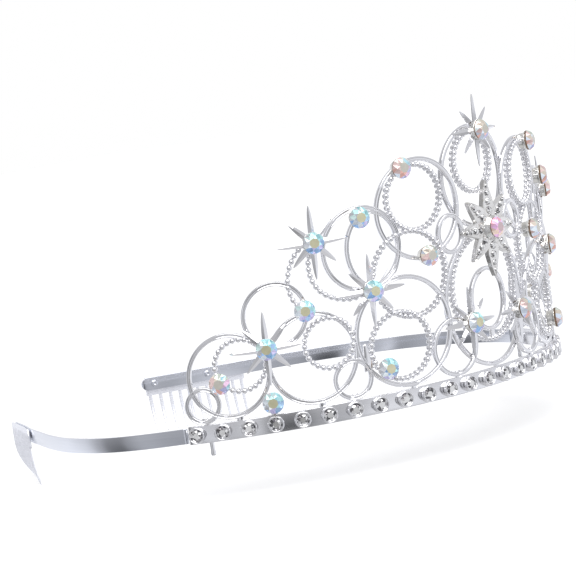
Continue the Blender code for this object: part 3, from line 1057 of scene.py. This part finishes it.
@dataclass
class CentreCasting:
    """Ovals and beaded rings on the middle line, a little behind the sides."""

    work: WallWork
    layer: float = -1.4 * MM
    plain: tuple = ((0.0, 53.3, 12.7, 12.7), (0.0, 22.0, 16.0, 16.9), (0.0, 21.8, 7.0, 7.7))
    beaded: tuple = ((0.0, 25.0, 13.5, 13.5), (0.0, 57.0, 7.6, 7.6))
    links: tuple = ((64.2, 66.2), (38.3, 41.0), (11.2, 14.4), (4.3, 5.6))
    link_half: float = 0.8

    def build(self, finishes: Finishes) -> None:
        """Build the wires, links and beads, and hang them on the front.

        Args:
            finishes: the materials.
        """
        wires = Shell()
        for spec in self.plain:
            self.work.ring(wires, spec, 1, self.layer, self.work.wire, self.work.wire_depth)
        half = self.link_half
        for low, high in self.links:
            self.work.plate(wires, ((-half, low), (half, low), (half, high), (-half, high)), 1, self.layer)
        ride(wires.build("centre_filigree_wires", finishes.wire), "front", Slot.SILVER, "centre_filigree")
        beads = Shell()
        for spec in self.beaded:
            self.work.beaded_ring(beads, spec, 1, self.layer)
        ride(beads.build("centre_filigree_beads", finishes.bead), "front", Slot.SILVER, "centre_filigree")


@dataclass
class StarCasting:
    """Eight needle rays round a stone cup; sizes of rays and cup in millimetres."""

    work: WallWork
    node: str
    stone_node: str
    palette: Palette
    seed: int
    rays: int = 8
    long_ray: float = 9.2
    short_ray: float = 7.6
    half_width: float = 1.0
    back: float = 0.85
    edge: float = 0.30
    ridge: float = 0.75
    hub: tuple = (
        (0.85, 2.2), (0.95, 2.55), (1.6, 2.46), (2.05, 2.60),
        (2.25, 2.68), (2.42, 2.62), (2.45, 2.45), (2.40, 2.20),
    )
    stone: Brilliant = Brilliant(2.68 * MM, 1.85 * MM)
    stone_seat: float = 2.25 * MM
    stone_turn: float = 0.21

    def needle(self, shell: Shell, s: float, h: float, turn: float, length: float) -> None:
        """Add one ray: a five-sided section with a ridge, narrowing as a root of what is left of its length.

        Args:
            shell: mesh to add to.
            s: arc length of the star.
            h: its height.
            turn: direction of the ray from the arc-length axis, radians.
            length: reach from the middle, millimetres.
        """
        t = np.concatenate([np.linspace(0.12, 0.9, 9), [0.96, 0.995]])
        left = (1.0 - t) ** 0.6
        w = self.half_width * left * (0.8 + 0.55 * t)
        zero = np.zeros_like(t)
        side = np.stack([-w, w, w, zero, -w], -1)
        top = self.back + self.edge * (0.4 + 0.6 * left)
        peak = top + self.ridge * left
        lift = np.stack([zero + self.back, zero + self.back, top, peak, top], -1)
        along = (length * t)[:, None]
        ps = s + (along * math.cos(turn) - side * math.sin(turn)) * MM
        ph = h + (along * math.sin(turn) + side * math.cos(turn)) * MM
        shell.add(*loft(self.work.wall.point(ps, ph, lift * MM), False))

    def build(self, finishes: Finishes) -> None:
        """Build the star, its cup and its stone, and hang them on the front.

        Args:
            finishes: the materials.
        """
        s, h = self.work.wall.locate(self.stone_node)
        rays = Shell()
        for i in range(self.rays):
            self.needle(rays, s, h, TAU * i / self.rays, self.short_ray if i % 2 else self.long_ray)
        ride(rays.build(f"{self.node}_rays", finishes.star, False), "front", Slot.SILVER, self.node)
        cup = Shell()
        self.work.cup(cup, s, h, self.hub)
        ride(cup.build(f"{self.node}_cup", finishes.cup), "front", Slot.SILVER, self.node)
        cut = Shell()
        foot = self.work.wall.point(np.array(s), h, self.stone_seat)
        self.stone.cut(cut, foot, self.work.wall.out(s), self.stone_turn * self.seed, self.palette, self.seed)
        gem = cut.build(f"{self.stone_node}_cut", finishes.coated, False, True)
        ride(gem, "front", Slot.CRYSTAL, self.stone_node)


@dataclass
class Burst:
    """Broad-rayed star in the middle, paved with small clear stones; sizes of rays and cup in millimetres.

    The paving gives each small stone's place as a share of the ray, and its radius.
    """

    work: WallWork
    rays: int = 8
    upright: float = 12.3
    sideways: float = 10.5
    diagonal: float = 10.6
    half_width: float = 2.15
    back: float = 0.85
    wall_height: float = 1.45
    rim_width: float = 0.28
    rim_height: float = 0.12
    sink: float = 0.2
    hub: tuple = (
        (1.0, 2.6), (1.2, 3.3), (2.6, 3.2), (3.3, 2.7), (3.6, 2.66), (3.78, 2.62), (3.82, 2.46), (3.75, 2.2),
    )
    stone: Brilliant = Brilliant(2.68 * MM, 1.60 * MM)
    stone_seat: float = 3.68 * MM
    stone_turn: float = 0.1
    stone_seed: int = 5
    paving_height: float = 0.55 * MM
    paving_seat: float = 0.15
    paving: tuple = ((0.36, 1.05), (0.55, 1.0), (0.72, 0.80), (0.86, 0.55))

    def length(self, i: int) -> float:
        """Reach of one ray: upright and level rays differ, and every second one is a diagonal.

        Args:
            i: number of the ray, from the level one.

        Returns:
            The reach, millimetres.
        """
        if i % 2:
            return self.diagonal
        return self.upright if i % 4 else self.sideways

    def top(self, share: float | np.ndarray) -> float | np.ndarray:
        """Height of a ray's walls, millimetres, which fall off along it."""
        return self.back + self.wall_height * (1.1 - 0.3 * share)

    def ray(self, shell: Shell, h: float, turn: float, length: float) -> None:
        """Add one ray: a leaf-shaped box with upright walls, a thin rim and a sunk top.

        Args:
            shell: mesh to add to.
            h: height of the burst's middle.
            turn: direction of the ray, radians.
            length: its reach, millimetres.
        """
        t = np.linspace(0.08, 0.995, 14)
        w = self.half_width * np.clip(0.75 + 1.1 * t, 0, 1.0) * np.clip((1.02 - t) / 0.5, 0, 1) ** 0.75
        w = np.maximum(w, 0.12)
        rim = np.minimum(self.rim_width, 0.4 * w)
        zero = np.zeros_like(t)
        back = zero + self.back
        high = self.top(t)
        peak = high + self.rim_height
        side = np.stack([-w, w, w, w - rim, zero, rim - w, -w], -1)
        lift = np.stack([back, back, high, peak, high - self.sink, peak, high], -1)
        along = (length * t)[:, None]
        ps = (along * math.cos(turn) - side * math.sin(turn)) * MM
        ph = h + (along * math.sin(turn) + side * math.cos(turn)) * MM
        shell.add(*loft(self.work.wall.point(ps, ph, lift * MM), False))

    def build(self, finishes: Finishes) -> None:
        """Build rays, paving, cup and stone, and hang them on the front.

        Args:
            finishes: the materials.
        """
        _, h = self.work.wall.locate("stone_centre")
        rays = Shell()
        paving = Shell()
        for i in range(self.rays):
            turn = TAU * i / self.rays
            length = self.length(i)
            self.ray(rays, h, turn, length)
            for k, (share, radius) in enumerate(self.paving):
                ps = length * share * math.cos(turn) * MM
                ph = h + length * share * math.sin(turn) * MM
                foot = self.work.wall.point(np.array(ps), ph, (self.top(share) - self.paving_seat) * MM)
                small = Brilliant(radius * MM, self.paving_height)
                small.cut(paving, foot, self.work.wall.out(ps), 0.4 * k, CLEAR, 31 * i + k)
        ride(rays.build("centre_burst_rays", finishes.pave, False), "front", Slot.SILVER, "centre_burst")
        set_stones = paving.build("centre_burst_paving", finishes.clear, False, True)
        ride(set_stones, "front", Slot.CRYSTAL, "centre_burst")
        cup = Shell()
        self.work.cup(cup, 0.0, h, self.hub)
        ride(cup.build("centre_burst_cup", finishes.pave), "front", Slot.SILVER, "centre_burst")
        cut = Shell()
        foot = self.work.wall.point(np.array(0.0), h, self.stone_seat)
        self.stone.cut(cut, foot, self.work.wall.out(0.0), self.stone_turn, ROSE, self.stone_seed)
        gem = cut.build("stone_centre_cut", finishes.coated, False, True)
        ride(gem, "front", Slot.CRYSTAL, "stone_centre")


def rounded_section(low: float, high: float, inner: float, outer: float, round_off: float) -> np.ndarray:
    """Corners of an upright rectangle whose corners are cut twice.

    Args:
        low: bottom height.
        high: top height.
        inner: offset of the inner face.
        outer: offset of the outer face.
        round_off: size of the corner.

    Returns:
        (12, 2) offsets and heights.
    """
    r = round_off
    k = 0.3 * r
    corners = [
        (inner, low + r), (inner + k, low + k), (inner + r, low),
        (outer - r, low), (outer - k, low + k), (outer, low + r),
        (outer, high - r), (outer - k, high - k), (outer - r, high),
        (inner + r, high), (inner + k, high - k), (inner, high - r),
    ]
    return np.array(corners)


@dataclass
class BaseBand:
    """Flat band with a row of collets, each holding a clear stone."""

    work: WallWork
    half_length: float = 88.0 * MM
    height: float = 4.5 * MM
    half_thickness: float = 0.4 * MM
    corner: float = 0.14 * MM
    steps: int = 181
    pitch: float = 6.6 * MM
    count: int = 27
    collet: tuple = (
        (0.2, 2.0), (0.5, 2.06), (1.3, 2.10), (1.7, 2.06),
        (1.88, 1.92), (1.86, 1.72), (1.65, 1.58), (1.1, 1.5),
    )
    stone: Brilliant = Brilliant(1.60 * MM, 0.80 * MM)
    stone_seat: float = 1.05 * MM
    stone_turn: float = 0.37
    first_seed: int = 100

    def build(self, finishes: Finishes) -> None:
        """Build the band, collets and stones, and hang them on the front.

        Args:
            finishes: the materials.
        """
        strip = Shell()
        s = np.linspace(-self.half_length, self.half_length, self.steps)[:, None]
        half = self.half_thickness
        section = rounded_section(0.0, self.height, -half, half, self.corner)
        strip.add(*loft(self.work.wall.point(s, section[None, :, 1], section[None, :, 0]), False))
        ride(strip.build("base_band_strip", finishes.band), "front", Slot.SILVER, "base_band")
        collets = Shell()
        stones = Shell()
        for i in range(self.count):
            place = (i - (self.count - 1) / 2) * self.pitch
            self.work.cup(collets, place, self.height / 2, self.collet)
            foot = self.work.wall.point(np.array(place), self.height / 2, self.stone_seat)
            out = self.work.wall.out(place)
            self.stone.cut(stones, foot, out, self.stone_turn * i, CLEAR, self.first_seed + i)
        ride(collets.build("base_band_collets", finishes.star), "front", Slot.SILVER, "base_band")
        row = stones.build("base_band_stones", finishes.clear, False, True)
        ride(row, "front", Slot.CRYSTAL, "base_band")


@dataclass
class Peg:
    """Short round-tipped peg behind the band's end."""

    work: WallWork
    hand: Hand
    sides: int = 20
    profile: tuple = (
        (0.0, 0.40), (0.12, 0.58), (0.45, 0.70), (0.9, 0.66),
        (1.5, 0.56), (3.2, 0.60), (6.4, 0.64), (6.85, 0.55),
    )

    def build(self, finishes: Finishes) -> None:
        """Build the peg as a profile turned about the upright line through its CAD node's box.

        Args:
            finishes: the materials.
        """
        node = f"peg_{self.hand.word}"
        low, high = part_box(node)
        foot = np.array([(low.x + high.x) / 2, (low.y + high.y) / 2, low.z])
        a = TAU * np.arange(self.sides) / self.sides
        circle = np.stack([np.cos(a), np.sin(a), 0 * a], -1)
        profile = np.array(self.profile) * MM
        rise = np.array([0.0, 0.0, 1.0])
        loops = foot + profile[:, None, :1] * rise + profile[:, None, 1:] * circle[None]
        shell = Shell()
        shell.add(*loft(loops, False))
        ride(shell.build(f"{node}_turned", finishes.star), "front", Slot.SILVER, node)


# ---------------------------------------------------------------- arms


@dataclass(frozen=True)
class ArmPlan:
    """How one arm is bent.

    Knots are angles from the front in degrees and distances from the axis in millimetres. The rise is gained
    evenly up to the end angle. The comb's ends and the rivets are angles too.
    """

    knots: tuple
    rise: float
    end: float
    comb: tuple[float, float]
    rivets: tuple[float, float]


OPEN_ARM = ArmPlan(
    knots=(
        (67.4, 75.0), (83, 74.3), (99, 70.5), (115, 67.0),
        (131, 66.8), (147, 71.6), (155, 76.5), (162.5, 83.3),
    ),
    rise=-2.4 * MM,
    end=161.9,
    comb=(140.8, 161.2),
    rivets=(149.2, 159.7),
)
CLOSED_ARM = ArmPlan(
    knots=(
        (67.4, 75.0), (83, 74.5), (99, 72.4), (115, 68.5),
        (131, 64.4), (147, 62.4), (158, 63.5), (169, 67.8),
    ),
    rise=1.4 * MM,
    end=167.9,
    comb=(140.7, 166.9),
    rivets=(150.8, 164.8),
)


@dataclass
class Arm:
    """Spring strip, comb and rivets of one side.

    The strip starts just past the band's end, at an angle from the front. Offsets are from its centre line,
    and heights from the band's lower edge. The comb's margin is an angle in degrees.
    """

    wall: Wall
    hand: Hand
    bent: ArmPlan
    start: float = math.degrees(88.4 / 75.0)
    low: float = 0.35 * MM
    high: float = 4.15 * MM
    half: float = 0.26 * MM
    strip_corner: float = 0.1 * MM
    strip_steps: int = 120
    tip_steps: int = 12
    comb_low: float = -1.2 * MM
    comb_high: float = 4.1 * MM
    comb_back: float = 0.6 * MM
    comb_front: float = 1.25 * MM
    comb_corner: float = 0.14 * MM
    comb_steps: int = 50
    comb_margin: float = 0.8
    teeth: int = 11
    tooth_sides: int = 10
    tooth_length: float = 10.5 * MM
    tooth_half_width: float = 0.50 * MM
    tooth_half_depth: float = 0.34 * MM
    tooth_sink: float = 0.12 * MM
    tooth_taper: tuple = ((-0.42, 0.2), (-0.36, 0.9), (0.3, 1.0), (0.9, 0.6), (0.97, 0.45), (1.0, 0.2))
    lean_front: float = 1.4 * MM
    lean_rear: float = 4.0 * MM
    rivet_sides: int = 28
    rivet_profile: tuple = ((-0.1, 0.9), (0.1, 1.0), (0.35, 0.9), (0.5, 0.62), (0.46, 0.38), (0.3, 0.2))
    bend_length: float = 45.0 * MM

    def radius(self, angle: np.ndarray) -> np.ndarray:
        """Distance from the axis: a cubic between knots whose slopes come from their neighbours.

        Args:
            angle: degrees from the front.

        Returns:
            Distances, metres.
        """
        a, r = np.array(self.bent.knots).T
        r = r * MM
        slope = np.empty_like(r)
        slope[1:-1] = (r[2:] - r[:-2]) / (a[2:] - a[:-2])
        slope[0] = (r[1] - r[0]) / (a[1] - a[0])
        slope[-1] = (r[-1] - r[-2]) / (a[-1] - a[-2])
        i = np.clip(np.searchsorted(a, angle) - 1, 0, len(a) - 2)
        width = a[i + 1] - a[i]
        t = (angle - a[i]) / width
        first = r[i] * (1 + 2 * t) * (1 - t) ** 2 + slope[i] * width * t * (1 - t) ** 2
        second = r[i + 1] * t * t * (3 - 2 * t) + slope[i + 1] * width * t * t * (t - 1)
        return first + second

    def plan(self, angle: np.ndarray) -> np.ndarray:
        """Centre line seen from above.

        Args:
            angle: degrees from the front.

        Returns:
            (..., 2) places.
        """
        turn = np.radians(angle) * self.hand.value
        reach = self.radius(angle)
        x = self.wall.axis_x - reach * np.sin(turn)
        return np.stack([x, self.wall.axis_y - reach * np.cos(turn)], -1)

    def point(self, angle: np.ndarray, off: np.ndarray, height: np.ndarray) -> np.ndarray:
        """Places beside the centre line.

        Args:
            angle: degrees from the front.
            off: distance outwards, square to the line.
            height: height above the band's lower edge.

        Returns:
            (..., 3) points.
        """
        angle, off, height = np.broadcast_arrays(np.asarray(angle, float), off, height)
        here = self.plan(angle)
        along = self.plan(angle + 0.5) - self.plan(angle - 0.5)
        along /= np.linalg.norm(along, axis=-1)[..., None]
        out = np.stack([-along[..., 1], along[..., 0]], -1) * self.hand.value
        flat = here + out * off[..., None]
        rise = self.bent.rise * (angle - self.start) / (self.bent.end - self.start)
        return np.concatenate([flat, (self.wall.base_z + height + rise)[..., None]], -1)

    def strip(self) -> Shell:
        """Strip: a section with rounded corners along the centre line, its end closed in as a half circle.

        Returns:
            The mesh.
        """
        shell = Shell()
        tall = (self.high - self.low) / 2
        end = self.bent.end
        reach = float(self.radius(np.array(end)))
        gap = math.degrees(tall / reach)
        bend = np.linspace(0, math.pi / 2 - 0.12, self.tip_steps)[1:]
        straight = np.linspace(self.start, end - gap, self.strip_steps)
        angle = np.concatenate([straight, end - gap + gap * np.sin(bend)])
        share = np.concatenate([np.ones(self.strip_steps), np.cos(bend)])
        section = rounded_section(-tall, tall, -self.half, self.half, self.strip_corner)
        middle = (self.high + self.low) / 2
        height = middle + section[None, :, 1] * share[:, None]
        shell.add(*loft(self.point(angle[:, None], section[None, :, 0], height), False))
        return shell

    def comb(self) -> Shell:
        """Plate on the outer face, and teeth that run down it as ribs and then curve in under the arm.

        A tooth is an oval section carried down, shrunk by its taper and moved inwards by the square of the
        way down.

        Returns:
            The mesh.
        """
        shell = Shell()
        first, last = self.bent.comb
        angle = np.linspace(first, last, self.comb_steps)
        faces = (self.comb_back, self.comb_front)
        section = rounded_section(self.comb_low, self.comb_high, *faces, self.comb_corner)
        shell.add(*loft(self.point(angle[:, None], section[None, :, 0], section[None, :, 1]), False))
        b = TAU * np.arange(self.tooth_sides) / self.tooth_sides
        way, width = np.array(self.tooth_taper).T
        step = np.concatenate([way[:2], np.linspace(-0.2, 0.9, 14), way[-2:]])
        share = np.interp(step, way, width)
        height = self.comb_low - self.tooth_length * step
        margin = self.comb_margin
        for part in np.linspace(0, 1, self.teeth):
            middle = first + margin + (last - first - 2 * margin) * part
            lean = (self.lean_front + (self.lean_rear - self.lean_front) * part) * np.clip(step, 0, None) ** 2
            off = self.comb_front - self.tooth_sink - lean
            turn = np.degrees(self.tooth_half_width * share / self.radius(np.array(middle)))
            where = middle + turn[:, None] * np.cos(b)
            across = off[:, None] + self.tooth_half_depth * share[:, None] * np.sin(b)
            shell.add(*loft(self.point(where, across, height[:, None]), False))
        return shell

    def rivet(self, angle: float) -> Shell:
        """Low domed head with a dimple, turned about the line square to the inner face.

        Args:
            angle: place along the arm, degrees from the front.

        Returns:
            The mesh.
        """
        shell = Shell()
        middle = np.array((self.low + self.high) / 2)
        foot = self.point(np.array(angle), -self.half, middle)
        tip = self.point(np.array(angle), -self.half - MM, middle)
        profile = [(z * MM, r * MM) for z, r in self.rivet_profile]
        shell.add(*loft(spun(foot, (tip - foot) / MM, profile, self.rivet_sides), False))
        return shell

    def build(self, finishes: Finishes, joints: Sequence[dict]) -> None:
        """Build the pieces; the strip is left where it is built, and the rest rides with the arm.

        Args:
            finishes: the materials.
            joints: the record's joints; not used.
        """
        word = self.hand.word
        body = f"{word}_arm"
        strip = self.strip().build(f"arm_{word}_strip", finishes.steel)
        reach = math.degrees(self.bend_length / self.wall.radius)
        further = self.point(np.array(self.start + reach), np.array(0.0), np.array(0.0))
        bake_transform(strip)
        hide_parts(f"arm_{word}")
        ride(self.comb().build(f"comb_{word}_teeth", finishes.comb), body, Slot.STEEL, f"comb_{word}")
        for label, angle in zip(("fore", "rear"), self.bent.rivets):
            node = f"rivet_{label}_{word}"
            ride(self.rivet(angle).build(f"{node}_head", finishes.steel), body, Slot.STEEL, node)


# ---------------------------------------------------------------- studio


@dataclass
class Studio:
    """Pale floor, soft light, reflected surroundings and the camera.

    Bars are grey levels by compass direction, in degrees from the front. Levels are grey levels by the sine
    of the height above the horizon, each with the share it takes over from the bars.
    """

    wall: Wall
    azimuth: float = -48.9
    elevation: float = 4.459
    roll: float = -9.507
    distance: float = 761.9 * MM
    focal: float = 2801.9
    across: float = 6.475 * MM
    rise: float = 28.92 * MM
    frame_width: int = 576
    sensor: float = 36.0
    near_clip: float = 0.01
    floor_size: float = 6.0
    floor_grey: float = 0.60
    floor_glow: float = 0.42
    key_energy: float = 2.2
    key_angle: float = 68.0
    key_from: tuple[float, float, float] = (-0.35, -0.45, 1.0)
    bar_tint: tuple[float, float, float] = (0.97, 0.985, 1.035)
    level_tint: tuple[float, float, float] = (1.0, 1.0, 1.03)
    bars: tuple = (
        (-180.0, 1.1), (-168.0, 0.9), (-156.0, 0.45), (-146.0, 0.16), (-130.0, 0.12), (-126.0, 0.30),
        (-112.0, 0.50), (-88.0, 0.34), (-82.0, 0.85), (-72.0, 0.50), (-60.0, 0.80), (-54.0, 0.07),
        (-42.0, 0.07), (-36.0, 0.42), (-22.0, 0.50), (-10.0, 0.85), (4.0, 0.45), (16.0, 0.06),
        (26.0, 0.65), (44.0, 1.0), (58.0, 0.5), (70.0, 0.06), (80.0, 0.85), (100.0, 0.5),
        (112.0, 0.06), (120.0, 0.85), (140.0, 0.5), (160.0, 1.0), (180.0, 1.1),
    )
    levels: tuple = (
        (-1.0, 0.64, 1.0), (-0.80, 0.60, 1.0), (-0.64, 0.26, 0.8), (-0.46, 0.5, 0.0), (0.42, 0.5, 0.0),
        (0.60, 0.12, 0.9), (0.80, 0.20, 1.0), (0.90, 0.48, 1.0), (1.0, 0.50, 1.0),
    )

    def directions(self) -> tuple[np.ndarray, np.ndarray, np.ndarray, np.ndarray]:
        """Camera's directions: backward, right, up and the level right that it has before its roll.

        Returns:
            Four directions.
        """
        a, e, r = (math.radians(v) for v in (self.azimuth, self.elevation, self.roll))
        back = np.array([math.sin(a) * math.cos(e), -math.cos(a) * math.cos(e), math.sin(e)])
        level = np.cross(-back, (0.0, 0.0, 1.0))
        level /= np.linalg.norm(level)
        right = math.cos(r) * level + math.sin(r) * np.cross(level, -back)
        return back, right, np.cross(back, right), level

    def camera(self) -> None:
        """Place the camera at its distance from a point beside the front's axis, and make it the scene's."""
        back, right, up, level = self.directions()
        axis = (self.wall.axis_x, self.wall.axis_y, self.wall.base_z + self.rise)
        target = level * self.across + np.array(axis)
        data = bpy.data.cameras.new("camera")
        data.sensor_width = self.sensor
        data.lens = self.focal / self.frame_width * self.sensor
        data.clip_start = self.near_clip
        item = bpy.data.objects.new("camera", data)
        bpy.context.scene.collection.objects.link(item)
        matrix = np.eye(4)
        matrix[:3] = np.stack([right, up, back, target + back * self.distance], -1)
        item.matrix_world = Matrix(matrix.tolist())
        bpy.context.scene.camera = item

    def floor(self) -> None:
        """Pale floor just under the comb teeth, a little bright of itself so that shadows stay faint."""
        material, shader = blank_material("pale_floor")
        shader.inputs["Base Color"].default_value = (self.floor_grey, self.floor_grey, self.floor_grey, 1.0)
        shader.inputs["Roughness"].default_value = 0.9
        shader.inputs["Emission Color"].default_value = (1.0, 1.0, 1.0, 1.0)
        shader.inputs["Emission Strength"].default_value = self.floor_glow
        half = self.floor_size / 2
        corners = [(-half, -half, 0.0), (half, -half, 0.0), (half, half, 0.0), (-half, half, 0.0)]
        mesh = bpy.data.meshes.new("floor")
        mesh.from_pydata(corners, [], [(0, 1, 2, 3)])
        mesh.materials.append(material)
        item = bpy.data.objects.new("floor", mesh)
        item.visible_glossy = False
        bpy.context.scene.collection.objects.link(item)

    def ramp(
        self, tree: bpy.types.NodeTree, stops: Sequence[tuple[float, tuple[float, ...]]]
    ) -> bpy.types.Node:
        """Add a colour ramp.

        Args:
            tree: tree to add to.
            stops: place from 0 to 1 and colour with alpha of each stop, in order.

        Returns:
            The node.
        """
        node = add_node(tree, "ValToRGB")
        elements = node.color_ramp.elements
        for k, (place, colour) in enumerate(stops):
            stop = elements[k] if k < 2 else elements.new(0.5)
            stop.position = place
            stop.color = colour
        return node

    def world(self) -> None:
        """Surroundings that only polished metal sees: upright bars all round, greys above and below."""
        world = bpy.data.worlds.new("studio")
        world.use_nodes = True
        tree = world.node_tree
        bar_stops = [((a + 180.0) / 360.0, (*(v * t for t in self.bar_tint), 1.0)) for a, v in self.bars]
        level_stops = [
            ((z + 1.0) / 2.0, (*(v * t for t in self.level_tint), share)) for z, v, share in self.levels
        ]
        place = add_node(tree, "TexCoord")
        parts = add_node(tree, "SeparateXYZ")
        back = add_node(tree, "Math", {1: -1.0}, operation="MULTIPLY")
        turn = add_node(tree, "Math", operation="ARCTAN2")
        round_share = add_node(tree, "MapRange", {"From Min": -math.pi, "From Max": math.pi})
        bars = self.ramp(tree, bar_stops)
        bars.color_ramp.interpolation = "EASE"
        height = add_node(tree, "MapRange", {"From Min": -1.0})
        levels = self.ramp(tree, level_stops)
        both = add_node(tree, "Mix", data_type="RGBA")
        sight = add_node(tree, "LightPath")
        shown = add_node(tree, "Mix", {"B": (1.0, 1.0, 1.0, 1.0)}, data_type="RGBA")
        link = tree.links.new
        link(place.outputs["Generated"], parts.inputs[0])
        link(parts.outputs["Y"], back.inputs[0])
        link(parts.outputs["X"], turn.inputs[0])
        link(back.outputs[0], turn.inputs[1])
        link(turn.outputs[0], round_share.inputs["Value"])
        link(round_share.outputs["Result"], bars.inputs["Fac"])
        link(parts.outputs["Z"], height.inputs["Value"])
        link(height.outputs["Result"], levels.inputs["Fac"])
        link(levels.outputs["Alpha"], both.inputs["Factor"])
        link(bars.outputs["Color"], both.inputs["A"])
        link(levels.outputs["Color"], both.inputs["B"])
        link(both.outputs["Result"], shown.inputs["A"])
        link(sight.outputs["Is Camera Ray"], shown.inputs["Factor"])
        link(shown.outputs["Result"], tree.nodes["Background"].inputs["Color"])
        bpy.context.scene.world = world

    def lights(self) -> None:
        """Broad soft light from above that reaches the whole floor evenly."""
        data = bpy.data.lights.new("softbox", "SUN")
        data.energy = self.key_energy
        data.angle = math.radians(self.key_angle)
        item = bpy.data.objects.new("softbox", data)
        item.rotation_euler = Vector(self.key_from).to_track_quat("Z", "Y").to_euler()
        bpy.context.scene.collection.objects.link(item)

    def build(self) -> None:
        """Build everything round the object."""
        self.floor()
        self.world()
        self.lights()
        self.camera()
        bpy.context.scene.view_settings.view_transform = "Standard"


# ---------------------------------------------------------------- whole


def find_wall(record: dict) -> Wall:
    """Wall placed so that the band's lower edge passes through the seat mount.

    Args:
        record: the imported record, with its mounts.

    Returns:
        The wall.
    """
    seat = next(m for m in record["mounts"] if m["name"] == "band_seat")["pos_m"]
    return Wall(axis_x=seat[0], axis_y=seat[1] + Wall.radius, base_z=seat[2])


def main() -> None:
    """Build the tiara piece by piece and light it."""
    logging.basicConfig(level=logging.INFO, format="%(message)s")
    wall = find_wall(frame["record"])
    work = WallWork(wall)
    finishes = Finishes()
    BaseBand(work).build(finishes)
    CentreCasting(work).build(finishes)
    Burst(work).build(finishes)
    StarCasting(work, "star_top", "stone_star_top", SUNSET, 3).build(finishes)
    for hand in Hand:
        SideCasting(work, hand).build(finishes)
        for k, label in enumerate(("outer", "upper", "middle", "inner")):
            name = f"star_{label}_{hand.word}"
            palette = AURORA if hand is Hand.RIGHT else SUNSET
            StarCasting(work, name, f"stone_{name}", palette, 5 * k + 2).build(finishes)
        Peg(work, hand).build(finishes)
        bent = OPEN_ARM if hand is Hand.RIGHT else CLOSED_ARM
        Arm(wall, hand, bent).build(finishes, frame["joints"])
    Studio(wall).build()


if __name__ == "__main__":
    main()
